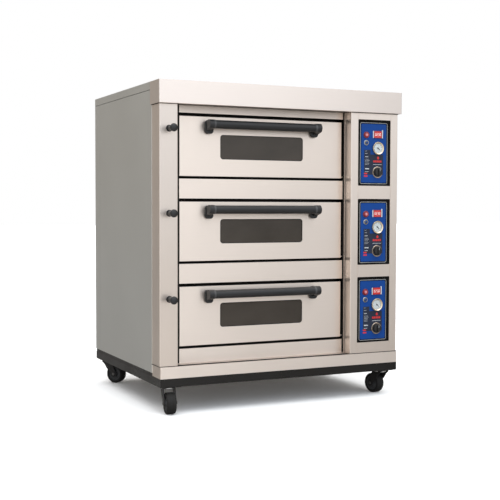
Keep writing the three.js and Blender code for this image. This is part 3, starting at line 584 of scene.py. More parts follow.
CASING = {
    "base_frame": ("black_paint", 0.001),
    "left_side_panel": ("satin_upright", 0.0005),
    "right_side_panel": ("satin_upright", 0.0005),
    "back_panel": ("galvanised", 0.0005),
    "top_cover": ("satin_level", 0.0008),
    "front_hood": ("hood", 0.0012),
    "bottom_skirt": ("champagne_level", 0.0007),
    "left_column": ("shaded_left_upright", 0.0007),
    "control_column": ("champagne_upright", 0.0007),
    "door_surround": ("surround", 0.0012),
}
DECK_LOOKS = {
    "chamber_{}": ("chamber_liner", 0.0008),
    "hearth_{}": ("hearth_stone", 0.0015),
    "door_{}_outer_panel": ("door_skin", 0.0012),
    "door_{}_inner_panel": ("liner", 0.0008),
    "door_{}_glass": ("window_glass", 0.0005),
}


def dress_casing():
    """Looks and edge radii of the sheets, chambers and doors that keep their CAD shape."""
    for node, (look, width) in CASING.items():
        dress(node, look, width)
    for deck in DECKS:
        for pattern, (look, width) in DECK_LOOKS.items():
            dress(pattern.format(deck), look, width)


# sizes of the black strips that stand in for shadow lines under the hood and above the skirt
SHADOW_LINE_STEP = 0.1 * MM
SHADOW_LINE_HEIGHT = 2.2 * MM
SHADOW_LINE_FRONT = 2.4 * MM
SHADOW_LINE_BESIDE = 1.6 * MM
SHADOW_LINE_LENGTH = 99 * MM
SHADOW_LINE_OVERHANG = 0.2 * MM
LEFT_SHADE_STRIP = 29 * MM
RIGHT_SHADE_STRIP = 8.5 * MM
SKIRT_SHADE_STRIP = 22 * MM
SHADE_STRIP_THICKNESS = 1.2 * MM
SHADE_STRIP_LIFT = 2 * MM
SHADE_STRIP_OVERHANG = 1.5 * MM
BAY_GAP = 0.2 * MM
BAY_SIDE_GAP = 0.4 * MM
LEDGE_GAP = 0.3 * MM
LEDGE_SHEET = 0.8 * MM
HOOD_SHEET_FRONT = 2.6 * MM
HOOD_SHEET_BOTTOM = 0.5 * MM
HOOD_SHEET_TOP = 2 * MM


def column_seal(node, outward, bottom, top):
    """Black strips round the front and the outer side of a column: painted shade for the shadow line there.
    """
    low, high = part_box(node)
    edge = high[0] if outward > 0 else low[0]
    near, far = sorted((edge + outward * SHADOW_LINE_STEP, edge + outward * SHADOW_LINE_BESIDE))
    front_strip = box_shape(
        (low[0] - SHADOW_LINE_OVERHANG, low[1] - SHADOW_LINE_FRONT, bottom),
        (high[0] + SHADOW_LINE_OVERHANG, low[1] - SHADOW_LINE_STEP, top),
    )
    return [front_strip, box_shape((near, low[1], bottom), (far, low[1] + SHADOW_LINE_LENGTH, top))]


def add_casing_seals():
    """Black strips under the hood and on top of the skirt, where the columns pass behind them: painted shade
    standing in for the shadow lines at those joints.
    """
    hood_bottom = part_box("front_hood")[0][2]
    skirt_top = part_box("bottom_skirt")[1][2]
    for name, z, lift in (("hood_shadow_line", hood_bottom, -1), ("skirt_shadow_line", skirt_top, 1)):
        bottom, top = sorted((z + lift * SHADOW_LINE_STEP, z + lift * SHADOW_LINE_HEIGHT))
        shapes = column_seal("left_column", -1, bottom, top)
        shapes += column_seal("control_column", 1, bottom, top)
        add_piece(name, *join_shapes(shapes), "seal", "oven_body")


def add_bay_edging():
    """Black strips and dark closing sheets between the door surround and the casing around it: painted shade,
    standing in for the shade in those gaps and under the hood.
    """
    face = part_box("door_surround")[0][1] - BAY_GAP
    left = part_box("left_column")[1][0] + BAY_SIDE_GAP
    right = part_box("control_column")[0][0] - BAY_SIDE_GAP
    column_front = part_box("left_column")[0][1]
    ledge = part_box("bottom_skirt")[1][2] + LEDGE_GAP
    hood_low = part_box("front_hood")[0]
    strip_front = face - SHADE_STRIP_THICKNESS
    strip_bottom = ledge + SHADE_STRIP_LIFT
    strip_back = column_front + SKIRT_SHADE_STRIP
    # painted shade: black strips down both sides of the bay and along the ledge, where shade falls
    shade_strips = [
        box_shape((left, strip_front, strip_bottom), (left + LEFT_SHADE_STRIP, face, hood_low[2])),
        box_shape((right - RIGHT_SHADE_STRIP, strip_front, strip_bottom), (right, face, hood_low[2])),
        box_shape(
            (left, column_front - SHADE_STRIP_OVERHANG, ledge), (right, strip_back, ledge + SHADE_STRIP_THICKNESS),
        ),
    ]
    add_piece("bay_shade_strips", *join_shapes(shade_strips), "seal", "oven_body", 0.3 * MM)
    # painted shade: a dark sheet under the hood, between its front lip and the door surround, where shade
    # falls
    sheet = box_shape(
        (left, hood_low[1] + HOOD_SHEET_FRONT, hood_low[2] + HOOD_SHEET_BOTTOM),
        (right, face, hood_low[2] + HOOD_SHEET_TOP),
    )
    add_piece("hood_shade_sheet", *sheet, "element", "oven_body")
    # painted shade: a darkened sheet on the ledge above the skirt, standing in for shade
    cover = box_shape((left, strip_back + LEDGE_GAP, ledge), (right, face, ledge + LEDGE_SHEET))
    add_piece("ledge_shade_sheet", *cover, "ledge", "oven_body")


SCREW_HEAD = millimetres((0, 0), (4.5, 0), (4.3, 1.2), (2.6, 2.3), (0, 2.6))
SCREW_INSET = 14 * MM
SCREW_ROWS = 7


def add_back_screws():
    """Two rows of pan-head screws down the edges of the rear sheet."""
    low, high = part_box("back_panel")
    sheet_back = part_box("top_cover")[1][1]
    spacing = (high[2] - low[2] - 2 * SCREW_INSET) / (SCREW_ROWS - 1)
    backwards = Matrix.Rotation(math.radians(-90.0), 4, "X")
    shapes = []
    for x in (low[0] + SCREW_INSET, high[0] - SCREW_INSET):
        for row in range(SCREW_ROWS):
            place = Matrix.Translation((x, sheet_back, low[2] + SCREW_INSET + spacing * row))
            shapes.append(moved(turned_shape(SCREW_HEAD, 20), place @ backwards))
    add_piece("back_screws", *join_shapes(shapes), "zinc", "oven_body")


# ---- heating elements


ROD_RADIUS = 4 * MM
ROD_PASSES = 6
BEND_STEPS = 10


def add_element(node):
    """Round rods bent to and fro where the CAD has a flat bar."""
    low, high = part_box(node)
    pitch = (high[1] - low[1] - 2 * ROD_RADIUS) / (ROD_PASSES - 1)
    turn = pitch / 2
    left = low[0] + turn + ROD_RADIUS
    right = high[0] - turn - ROD_RADIUS
    z = (low[2] + high[2]) / 2
    y = low[1] + ROD_RADIUS
    points = []
    for row in range(ROD_PASSES):
        side = 1.0 if row % 2 == 0 else -1.0
        start, end = (left, right) if side > 0 else (right, left)
        points += [(start, y, z), (end, y, z)]
        if row == ROD_PASSES - 1:
            break
        for step in range(1, BEND_STEPS):
            angle = math.pi * step / BEND_STEPS - math.pi / 2
            points.append((end + side * turn * math.cos(angle), y + turn + turn * math.sin(angle), z))
        y += pitch
    piece = add_piece(f"{node}_rod", *tube_shape(points, ROD_RADIUS), "element", "oven_body")
    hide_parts(node)


# ---- handles

BAR_RADIUS = 19 * MM
SOCKET_RADIUS = 21 * MM
SOCKET_WIDTH = 22 * MM
SOCKET_DROP = 30 * MM
FOOT_WIDTH = 40 * MM
FOOT_HEIGHT = 60 * MM
FOOT_THICKNESS = 13 * MM
FOOT_CORNER = 14 * MM
FOOT_BEYOND_SOCKET = 4 * MM
FOOT_OVERLAP = 1 * MM
BAR_INSIDE_SOCKET = 4 * MM
SOCKET_HEEL = 8 * MM
SOCKET_SLOPE = 3 * MM
COLLAR = millimetres((18, 0), (20.3, 0), (20.6, 2), (20.3, 7), (19.3, 9), (18, 9))


def socket_outline(axis_y, axis_z, foot_front):
    """Side view of the casting that holds one end of the bar."""
    top = axis_z + BAR_RADIUS
    bottom = axis_z - SOCKET_DROP
    outline = [(foot_front + FOOT_OVERLAP, top), (axis_y + SOCKET_RADIUS / 2, top)]
    outline += arc((axis_y, axis_z), SOCKET_RADIUS, 62.0, 178.0, 16)
    outline.append((foot_front - SOCKET_HEEL, bottom + SOCKET_SLOPE))
    outline.append((foot_front + FOOT_OVERLAP, bottom))
    return outline


def add_handle_end(node, body, side, label, axis, foot_back):
    """Socket, foot and collar at one end of a handle; axis is the middle of the bar's outer end."""
    foot_front = foot_back - FOOT_THICKNESS
    inner = axis.x - side * SOCKET_WIDTH
    outline = socket_outline(axis.y, axis.z, foot_front)
    socket = side_prism(outline, min(axis.x, inner), max(axis.x, inner))
    add_piece(f"{node}_socket_{label}", *socket, "black_plastic", body, 3 * MM, 4)
    foot_x = axis.x + side * (FOOT_BEYOND_SOCKET - FOOT_WIDTH / 2)
    foot_z = axis.z + BAR_RADIUS - FOOT_HEIGHT / 2
    edge = rounded_outline(FOOT_WIDTH, FOOT_HEIGHT, FOOT_CORNER, 10, (foot_x, foot_z))
    foot = facing_prism(edge, foot_front, foot_back)
    add_piece(f"{node}_foot_{label}", *foot, "black_plastic", body, 2.5 * MM, 3)
    inward = Matrix.Rotation(math.radians(-90.0 * side), 4, "Y")
    place = Matrix.Translation((inner, axis.y, axis.z)) @ inward
    add_piece(f"{node}_collar_{label}", *turned_shape(COLLAR, 56), "collar", body, place=place)


def add_handle(deck):
    """Plastic-sleeved bar held by a cast socket and foot at each end."""
    node = f"handle_{deck}"
    body = f"door_{deck}"
    low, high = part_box(node)
    centre = Vector(((low[0] + high[0]) / 2, low[1] + SOCKET_RADIUS, high[2] - SOCKET_RADIUS))
    half = (high[0] - low[0]) / 2 - FOOT_BEYOND_SOCKET
    along_x = Matrix.Translation(centre) @ Matrix.Rotation(math.radians(90.0), 4, "Y")
    inside = half - BAR_INSIDE_SOCKET
    sleeve = [(0.0, -inside), (BAR_RADIUS, -inside), (BAR_RADIUS, inside), (0.0, inside)]
    bar = add_piece(f"{node}_bar", *turned_shape(sleeve, 56), "black_plastic", body, place=along_x)
    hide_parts(node)
    for side, label in ((-1, "left"), (1, "right")):
        add_handle_end(node, body, side, label, centre + Vector((side * half, 0.0, 0.0)), high[1])


GASKET_MARGIN = 12 * MM
GASKET_CORNER = 14 * MM
GASKET_WIDTH = 2.5 * MM


def add_window_gasket(deck):
    """Black rubber lining between the edge of the door skin and the glass."""
    glass = f"door_{deck}_glass"
    low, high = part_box(glass)
    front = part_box(f"door_{deck}_outer_panel")[0][1]
    centre = middle(glass)
    width = high[0] - low[0] - 2 * GASKET_MARGIN
    height = high[2] - low[2] - 2 * GASKET_MARGIN
    outer = rounded_outline(
        width - 0.2 * MM, height - 0.2 * MM, GASKET_CORNER, 8, (centre.x, centre.z),
    )
    inner = rounded_outline(
        width - 2 * GASKET_WIDTH, height - 2 * GASKET_WIDTH, GASKET_CORNER - GASKET_WIDTH, 8,
        (centre.x, centre.z),
    )
    shape = facing_ring(outer, inner, front + 0.4 * MM, low[1] - 0.1 * MM)
    add_piece(f"door_{deck}_window_gasket", *shape, "rubber", f"door_{deck}", 0.6 * MM)


# ---- control panels

SHEET = 2 * MM
TRIM = (152 * MM, 291 * MM)
TRIM_BAND = 2.1 * MM
TRIM_SHIFT = (-3.5 * MM, -2.5 * MM)
FACE = (140 * MM, 279 * MM)
TRIM_FRONT = 0.6 * MM
FACE_FRONT = 1.2 * MM
FACE_BACK = SHEET + 0.4 * MM
FRAME_FRONT = SHEET + 0.3 * MM
GAUGE_RISE = 22 * MM
DISPLAY_RISE = 87.5 * MM
KNOB_DROP = 92 * MM
FIELD = millimetres((-57, -104), (49, -104), (49, -8), (-22, -8), (-22, 14), (-57, 14))
PRINT_THICKNESS = 0.45 * MM
PRINT_LEFT = -51
PRINT_LINES = (
    (8, 10, 1.2), (-4, 12, 1.6), (-19, 16, 3.2), (-31, 22, 1.2), (-37, 24, 1.2),
    (-43, 20, 1.2), (-50, 22, 1.2), (-56, 18, 1.2), (-76, 22, 5.0), (-90, 18, 2.2),
)
DASH_SHORTEST = 2.2
DASH_LONGEST = 5.0
DASH_GAP = 1.1
RED_LABELS = ((-99, 17), (-111, 19))
RED_BARS = 5
RED_BAR_PITCH = 9.4
RED_BAR_WIDTH = 7.6
DROP_STEPS = 24
BEZELS = (
    ("knob_ring", (20, 27.8, 3.6, 1), 72, "bronze"),
    ("power_bezel", (12.3, 15.4, 3.8, 0.9), 56, "deep_red"),
    ("light_bezel", (9.3, 12.5, 3.6, 1.1), 56, "zinc"),
)


def ring_profile(bore, outer, front, round_off):
    """Closed profile of a raised ring; heights run towards the front."""
    return [
        (bore, 0.0), (outer, 0.0), (outer, front - round_off), (outer - round_off, front),
        (bore + round_off, front), (bore, front - round_off),
    ]


SEGMENTS_OF = {
    0: "abcdef", 1: "bc", 2: "abged", 3: "abgcd", 4: "fgbc", 5: "afgcd", 6: "afgedc", 7: "abc",
    8: "abcdefg", 9: "abcdfg",
}


def digit_shapes(number, x, z, width, height, front, back):
    """Seven-segment bars of one digit, with its middle at x and z."""
    bar = 1.5 * MM
    half_w = width / 2
    half_h = height / 2
    places = {
        "a": (0, half_h, True), "d": (0, -half_h, True), "g": (0, 0, True),
        "b": (half_w, half_h / 2, False), "c": (half_w, -half_h / 2, False),
        "e": (-half_w, -half_h / 2, False), "f": (-half_w, half_h / 2, False),
    }
    shapes = []
    for key in SEGMENTS_OF[number]:
        offset_x, offset_z, level = places[key]
        reach_x = half_w - bar / 4 if level else bar / 2
        reach_z = bar / 2 if level else half_h / 2 - bar / 4
        shapes.append(box_shape(
            (x + offset_x - reach_x, front, z + offset_z - reach_z),
            (x + offset_x + reach_x, back, z + offset_z + reach_z),
        ))
    return shapes


def printed_bar(x, z, across, up, face_y):
    """Bar printed on the face; across and up are its edges in millimetres from x and z."""
    return box_shape(
        (x + across[0] * MM, face_y - PRINT_THICKNESS, z + up[0] * MM),
        (x + across[1] * MM, face_y, z + up[1] * MM),
    )


def add_panel_sheets(node, x, z, column_front):
    """Frame in the opening, trim round it, blue face and dark legend field."""
    low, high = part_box(node)
    frame_edge = rounded_outline(high[0] - low[0], high[2] - low[2], 8 * MM, 6, (x, z))
    plate = facing_prism(frame_edge, column_front + FRAME_FRONT, high[1])
    base = add_piece(f"{node}_frame", *plate, "panel_black", "oven_body", 0.4 * MM)
    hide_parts(node)
    middle_of_trim = (x + TRIM_SHIFT[0], z + TRIM_SHIFT[1])
    trim = facing_ring(
        rounded_outline(*TRIM, 9 * MM, 8, middle_of_trim),
        rounded_outline(TRIM[0] - 2 * TRIM_BAND, TRIM[1] - 2 * TRIM_BAND, 6.5 * MM, 8, middle_of_trim),
        column_front + TRIM_FRONT, column_front + FACE_BACK,
    )
    add_piece(f"{node}_trim", *trim, "galvanised", "oven_body", 0.5 * MM, 3)
    face_y = column_front + FACE_FRONT
    face_edge = rounded_outline(*FACE, 6 * MM, 8, middle_of_trim)
    face = facing_prism(face_edge, face_y, column_front + FACE_BACK)
    add_piece(f"{node}_face", *face, "panel_blue", "oven_body", 0.4 * MM)
    field_edge = [(x + across, z + up) for across, up in FIELD]
    field = facing_prism(field_edge, face_y - 0.25 * MM, face_y + 0.2 * MM)
    add_piece(f"{node}_field", *field, "legend_navy", "oven_body")


def add_pale_marks(node, x, z, dial_x, face_y, rng):
    """Lines of dashes that stand for small print, and a rule above the knob."""
    marks = []
    for drop, length, thick in PRINT_LINES:
        used = 0.0
        while used < length:
            dash = min(rng.uniform(DASH_SHORTEST, DASH_LONGEST), length - used)
            left = PRINT_LEFT + used
            up = (drop - thick / 2, drop + thick / 2)
            marks.append(printed_bar(x, z, (left, left + dash), up, face_y))
            used += dash + DASH_GAP
    marks.append(printed_bar(dial_x, z, (-24, 24), (-56.2, -54.6), face_y))
    add_piece(f"{node}_pale_marks", *join_shapes(marks), "pale_ink", "oven_body")


def add_red_marks(node, x, z, dial_x, face_y):
    """Two red labels, a row of red bars and a drop under the gauge."""
    red = []
    for drop, length in RED_LABELS:
        red.append(printed_bar(x, z, (-57, -57 + length), (drop - 3.2, drop + 3.2), face_y))
    for index in range(RED_BARS):
        left = -23 + RED_BAR_PITCH * index
        red.append(printed_bar(dial_x, z, (left, left + RED_BAR_WIDTH), (-45, -35.5), face_y))
    outline = []
    for step in range(DROP_STEPS):
        angle = 2.0 * math.pi * step / DROP_STEPS
        reach = (6.0 + 2.2 * max(0.0, math.sin(angle)) ** 6) * MM
        outline.append((dial_x + 3 * MM + reach * math.cos(angle), z - 24.5 * MM + reach * math.sin(angle)))
    red.append(facing_prism(outline, face_y - PRINT_THICKNESS, face_y))
    add_piece(f"{node}_red_marks", *join_shapes(red), "red_ink", "oven_body")


def add_control_panel(deck, rng):
    """Everything fixed on one control panel: sheets, print, display, gauge and bezels."""
    node = f"control_panel_{deck}"
    centre = middle(node)
    x, z = centre.x, centre.z
    column_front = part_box("control_column")[0][1]
    face_y = column_front + FACE_FRONT
    dial_x = middle(f"thermostat_knob_{deck}").x
    add_panel_sheets(node, x, z, column_front)
    add_pale_marks(node, x, z, dial_x, face_y, rng)
    add_red_marks(node, x, z, dial_x, face_y)
    add_display(f"{node}_display", dial_x, z + DISPLAY_RISE, face_y)
    add_gauge(f"{node}_gauge", dial_x, z + GAUGE_RISE, face_y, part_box(f"gauge_needle_{deck}")[0][1])
    power = middle(f"power_button_{deck}")
    light = middle(f"light_switch_{deck}")
    places = ((dial_x, z - KNOB_DROP), (power.x, power.z), (light.x, light.z))
    for (label, sizes, segments, look), (ring_x, ring_z) in zip(BEZELS, places):
        ring = turned_shape(ring_profile(*(size * MM for size in sizes)), segments)
        add_piece(f"{node}_{label}", *ring, look, "oven_body", place=forward_at(ring_x, face_y, ring_z))


SCREEN = (41 * MM, 31 * MM)
RIM_FRONT = 3.8 * MM
POST_FRONT = 3.4 * MM
SCREEN_FRONT = 3 * MM
SUNK = 0.3 * MM
DIGITS = (0, 2, 3, 0)
DIGIT_PITCH = 8.4


def add_display(name, x, z, face_y):
    """Red display with four digits, a rim and a pale post at each side."""
    body = "oven_body"
    width, height = SCREEN
    back = face_y + SUNK
    screen_edge = rounded_outline(width, height, 1.5 * MM, 4, (x, z))
    screen = facing_prism(screen_edge, face_y - SCREEN_FRONT, back)
    add_piece(f"{name}_screen", *screen, "red_screen", body, 0.5 * MM)
    rim = facing_ring(
        rounded_outline(width + 3 * MM, height + 3 * MM, 2.5 * MM, 4, (x, z)),
        rounded_outline(width - 1 * MM, height - 1 * MM, 1 * MM, 4, (x, z)),
        face_y - RIM_FRONT, back,
    )
    add_piece(f"{name}_rim", *rim, "deep_red", body, 0.4 * MM)
    front = face_y - POST_FRONT
    posts = [
        box_shape((x - 27 * MM, front, z - 17 * MM), (x - 22.6 * MM, back, z + 17 * MM)),
        box_shape((x + 22.6 * MM, front, z - 17 * MM), (x + 28 * MM, back, z + 22 * MM)),
    ]
    add_piece(f"{name}_posts", *join_shapes(posts), "pale_ink", body, 0.6 * MM)
    digits = []
    for index, number in enumerate(DIGITS):
        digit_x = x + (-12.6 + DIGIT_PITCH * index) * MM
        digits += digit_shapes(number, digit_x, z, 4.6 * MM, 11 * MM, front, face_y - 2.8 * MM)
    add_piece(f"{name}_digits", *join_shapes(digits), "white_digits", body)


BEZEL_REAR = millimetres((23.9, 3.6), (24.4, 0), (30, 0), (30.6, 2))
BEZEL_LIP = millimetres((30.6, -3), (29.6, -0.6), (28.4, 0), (27.2, -0.8), (24.8, -2.2), (24, -3))
DIAL = millimetres((0, 0.2), (24.2, 0.2), (24.2, 3.9), (0, 3.9))
GAUGE_GLASS = millimetres((0, -2.9), (23.7, -2.9), (23.7, -2.6), (15, -2.3), (8, -2.1), (0, -2))
BEZEL_BEYOND_NEEDLE = 3.5 * MM
TICKS = 28
TICK_START = 225.0
TICK_PITCH = 10.0


def add_gauge(name, x, z, face_y, needle_front):
    """Round gauge: brass bezel, white dial with ticks, and a glass in front of the needle."""
    body = "oven_body"
    front = face_y - (needle_front - BEZEL_BEYOND_NEEDLE)
    place = forward_at(x, face_y, z)
    bezel = turned_shape(BEZEL_REAR + raised(BEZEL_LIP, front), 72)
    add_piece(f"{name}_bezel", *bezel, "brass", body, place=place)
    add_piece(f"{name}_dial", *turned_shape(DIAL, 72), "dial_white", body, place=place)
    ticks = []
    for step in range(TICKS):
        angle = math.radians(TICK_START - TICK_PITCH * step)
        inner, half = (18.5, 0.45) if step % 3 == 0 else (20.5, 0.22)
        tick = box_shape((inner * MM, -half * MM, 3.8 * MM), (22.4 * MM, half * MM, 4.1 * MM))
        ticks.append(moved(tick, Matrix.Rotation(angle, 4, "Z")))
    add_piece(f"{name}_ticks", *join_shapes(ticks), "ink", body, place=place)
    glass = turned_shape(raised(GAUGE_GLASS, front), 72)
    add_piece(f"{name}_glass", *glass, "gauge_glass", body, place=place)


NEEDLE = mirrored([(-7, 0.7), (-4, 0.9), (0, 1.6), (12, 1.1), (15, 0.3)])
NEEDLE_HUB = millimetres((0, 0), (3.4, 0), (3.2, 1.6), (2, 2.3), (0, 2.4))


def add_needle(deck):
    """Tapered needle and its hub."""
    node = f"gauge_needle_{deck}"
    low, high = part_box(node)
    pivot = Vector(joint_of(node)["pos_m"])
    centre = middle(node)
    direction = Vector((centre.x - pivot.x, 0.0, centre.z - pivot.z)).normalized()
    across = Vector((direction.z, 0.0, -direction.x))
    points = [pivot + direction * reach * MM + across * half * MM for reach, half in NEEDLE]
    needle = facing_prism([(point.x, point.z) for point in points], low[1] + 1 * MM, high[1])
    hub = moved(turned_shape(NEEDLE_HUB, 32), forward_at(pivot.x, high[1], pivot.z))
    piece = add_piece(f"{node}_pointer", *join_shapes([needle, hub]), "needle", node)
    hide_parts(node)


KNOB_FOOT = 2.8 * MM
KNOB_GRIP_HEIGHT = 8 * MM
KNOB_FLUTES = 24
FLUTE_DEPTH = 0.55 * MM
FLUTE_DEPTHS = (0.0, 0.0, 0.0, FLUTE_DEPTH, FLUTE_DEPTH, 0.6 * FLUTE_DEPTH, 0.0, 0.0)
SPINDLE_RADIUS = 4.9 * MM
SPINDLE_SUNK = 8 * MM


def add_knob(deck):
    """Fluted black knob with a raised grip and a pale pointer line."""
    node = f"thermostat_knob_{deck}"
    low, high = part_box(node)
    centre = middle(node)
    radius = (high[0] - low[0]) / 2
    front_y = low[1]
    column_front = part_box("control_column")[0][1]
    cap = column_front - front_y - KNOB_GRIP_HEIGHT
    foot = KNOB_FOOT
    profile = [
        (0.0, foot), (radius - 0.6 * MM, foot), (radius, foot + 1.2 * MM), (radius - 0.6 * MM, foot + 4 * MM),
        (radius - 2.2 * MM, cap - 2.5 * MM), (radius - 3.4 * MM, cap - 0.8 * MM),
        (radius - 5.5 * MM, cap), (0.0, cap + 0.3 * MM),
    ]
    place = forward_at(centre.x, column_front, centre.z)
    shape = turned_shape(profile, 72, FLUTE_DEPTHS, KNOB_FLUTES)
    knob = add_piece(f"{node}_body", *shape, "black_plastic", node, place=place)
    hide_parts(node)
    grip_edge = rounded_outline(9 * MM, 2 * radius - 9 * MM, 4 * MM, 6, (centre.x, centre.z))
    grip = facing_prism(grip_edge, front_y, column_front - cap + 0.5 * MM)
    add_piece(f"{node}_grip", *grip, "black_plastic", node, 1.4 * MM, 3)
    pointer = box_shape(
        (centre.x - 0.8 * MM, front_y - 0.15 * MM, centre.z + 5 * MM),
        (centre.x + 0.8 * MM, front_y + 0.4 * MM, centre.z + radius - 7 * MM),
    )
    add_piece(f"{node}_pointer", *pointer, "pale_ink", node)
    top = foot + 1 * MM
    spindle = [(0.0, -SPINDLE_SUNK), (SPINDLE_RADIUS, -SPINDLE_SUNK), (SPINDLE_RADIUS, top), (0.0, top)]
    add_piece(f"{node}_spindle", *moved(turned_shape(spindle, 24), place), "zinc", node)


def add_button(node, look, cap_look):
    """Round button with a sunk middle and a lens in it."""
    low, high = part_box(node)
    centre = middle(node)
    radius = (high[0] - low[0]) / 2
    length = high[1] - low[1]
    profile = [
        (0.0, 0.0), (radius, 0.0), (radius, length - 3 * MM), (radius - 0.6 * MM, length - 1.4 * MM),
        (radius - 2 * MM, length - 0.5 * MM), (radius * 0.62, length - 0.25 * MM),
        (radius * 0.56, length - 0.9 * MM), (0.0, length - 0.7 * MM),
    ]
    place = forward_at(centre.x, high[1], centre.z)
    body = add_piece(f"{node}_cap", *turned_shape(profile, 48), look, node, place=place)
    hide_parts(node)
    lens = [
        (0.0, length - 0.9 * MM), (radius * 0.52, length - 0.9 * MM), (radius * 0.5, length - 0.35 * MM),
        (radius * 0.3, length - 0.1 * MM), (0.0, length),
    ]
    add_piece(f"{node}_lens", *turned_shape(lens, 48), cap_look, node, place=place)


# ---- damper rods

SHANK_RADIUS = 11 * MM
HEAD_LENGTH = 17 * MM
HEAD_CURVE = millimetres((3, 2), (0.7, 4), (0, 6.5), (0.4, 9), (2.4, 12), (6, 14.6), (11, 16.3))


def add_damper(deck):
    """Black pull rod with a domed head and a bushing in the column."""
    node = f"damper_rod_{deck}"
    low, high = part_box(node)
    centre = middle(node)
    length = high[1] - low[1]
    head = (high[0] - low[0]) / 2
    place = forward_at(centre.x, high[1], centre.z)
    neck = length - HEAD_LENGTH
    tip = SHANK_RADIUS - 1 * MM
    end = neck + 1 * MM
    rod = [(0.0, 0.0), (tip, 0.0), (SHANK_RADIUS, 1 * MM), (SHANK_RADIUS, neck), (tip, end), (0.0, end)]
    piece = add_piece(f"{node}_shank", *turned_shape(rod, 48), "black_plastic", node, place=place)
    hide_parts(node)
    dome = [(0.0, neck), (SHANK_RADIUS + 1.5 * MM, neck)]
    dome += [(head - inset, neck + rise) for inset, rise in HEAD_CURVE]
    dome.append((0.0, length))
    add_piece(f"{node}_knob", *turned_shape(dome, 56), "black_plastic", node, place=place)
    ring = turned_shape(ring_profile(11.7 * MM, 15 * MM, 1.8 * MM, 0.6 * MM), 48)
    place = forward_at(centre.x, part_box("left_column")[0][1], centre.z)
    add_piece(f"{node}_bushing", *ring, "black_plastic", "oven_body", place=place)


# ---- casters


def joint_of(child):
    """The frame's record of the joint that moves a node."""
    return next(joint for joint in frame["joints"] if joint["child"] == child)


FORK_INNER = 24.5 * MM
FORK_SHEET = 4 * MM
FORK_OUTER = FORK_INNER + FORK_SHEET
CROWN_DEPTH = 12 * MM
CROWN_HALF_LENGTH = 29 * MM
EYE_RADIUS = 15 * MM
RACE = millimetres(
    (0, -13), (20, -13), (24, -11), (29, -9.5), (31.5, -7), (31.5, -4), (29, -3), (29.5, -1), (28, 0), (0, 0),
)
TYRE = mirrored(millimetres(
    (34, -18.5), (37, -21.2), (41, -22), (44.5, -20.8), (46.8, -17.5), (47.6, -13), (47.8, -5),
))
HUB = mirrored(millimetres(
    (5.4, -23.4), (13, -23.4), (14.5, -22), (16, -14), (30, -12.5), (33, -18), (35, -18),
))
BOLT_RADIUS = 4.8 * MM
BOLT_BEYOND = 3 * MM


def crown_section(top):
    """Front view of the bent sheet that joins the two legs of a fork."""
    bend = top - 6 * MM
    bottom = top - CROWN_DEPTH
    right = arc((FORK_INNER, bend), FORK_SHEET, 0.0, 90.0, 6)
    section = right + [(-x, z) for x, z in reversed(right)]
    section += [(-FORK_OUTER, bottom), (-FORK_INNER, bottom), (-FORK_INNER, bend)]
    section += [(FORK_INNER, bend), (FORK_INNER, bottom), (FORK_OUTER, bottom)]
    return list(reversed(section))


def leg_outline(top, trail, axle_z):
    """Side view of one leg, from the crown down to a round eye at the axle."""
    bottom = top - CROWN_DEPTH
    leg = [(26 * MM, bottom + 1 * MM), (26 * MM, top - 7 * MM), (-26 * MM, top - 7 * MM)]
    leg += [(-34 * MM, top - 22 * MM), (-45 * MM, axle_z + 22 * MM)]
    leg += arc((-trail, axle_z), EYE_RADIUS, 165.0, 175.0, 11)
    leg += [(-9 * MM, axle_z + 16 * MM), (2 * MM, axle_z + 28 * MM), (15 * MM, bottom - 9 * MM)]
    return leg


def add_fork(node, top, trail, axle_z, place, at_axle):
    """Swivel race, stamped crown and legs, and the axle bolt with a nut at each side."""
    head = add_piece(f"{node}_race", *turned_shape(raised(RACE, top), 56), "zinc", node, place=place)
    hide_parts(node)
    crown = facing_prism(crown_section(top), -CROWN_HALF_LENGTH, CROWN_HALF_LENGTH)
    add_piece(f"{node}_crown", *crown, "fork", node, 0.8 * MM, place=place)
    leg = leg_outline(top, trail, axle_z)
    for label, left, right in (("left", -FORK_OUTER, -FORK_INNER), ("right", FORK_INNER, FORK_OUTER)):
        sheet = side_prism(leg, left, right)
        add_piece(f"{node}_leg_{label}", *sheet, "fork", node, 1.2 * MM, 2, place=place)
    reach = FORK_OUTER + BOLT_BEYOND
    bolt = [(0.0, -reach), (BOLT_RADIUS, -reach), (BOLT_RADIUS, reach), (0.0, reach)]
    add_piece(f"{node}_axle", *turned_shape(bolt, 32), "dark_zinc", node, place=at_axle)
    nuts = []
    for side in (-1, 1):
        corners = millimetres((0, 0), (8, 0), (8, side * 3), (7, side * 4), (0, side * 4))
        nuts.append(turned_shape(raised(corners, side * FORK_OUTER), 6))
    add_piece(f"{node}_nuts", *join_shapes(nuts), "dark_zinc", node, 0.4 * MM, place=at_axle)


def add_caster(corner):
    """Swivel caster: a fork that turns about its post and a wheel that rolls in it."""
    fork = f"caster_fork_{corner}"
    wheel = f"caster_wheel_{corner}"
    swivel = Vector(joint_of(fork)["pos_m"])
    roll = joint_of(wheel)
    axle = Vector(roll["pos_m"])
    across = Vector(roll["axis"]).normalized()
    turn = Matrix.Rotation(math.atan2(across.y, across.x), 4, "Z")
    trail = math.hypot(axle.x - swivel.x, axle.y - swivel.y)
    place = Matrix.Translation((swivel.x, swivel.y, 0.0)) @ turn
    at_axle = Matrix.Translation(axle) @ turn @ Matrix.Rotation(math.radians(90.0), 4, "Y")
    add_fork(fork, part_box(fork)[1][2], trail, axle.z, place, at_axle)
    tyre = add_piece(f"{wheel}_tyre", *turned_shape(TYRE, 72), "rubber", wheel, place=at_axle)
    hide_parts(wheel)
    add_piece(f"{wheel}_hub", *turned_shape(HUB, 64), "hub", wheel, place=at_axle)


# ---- stage, light and camera

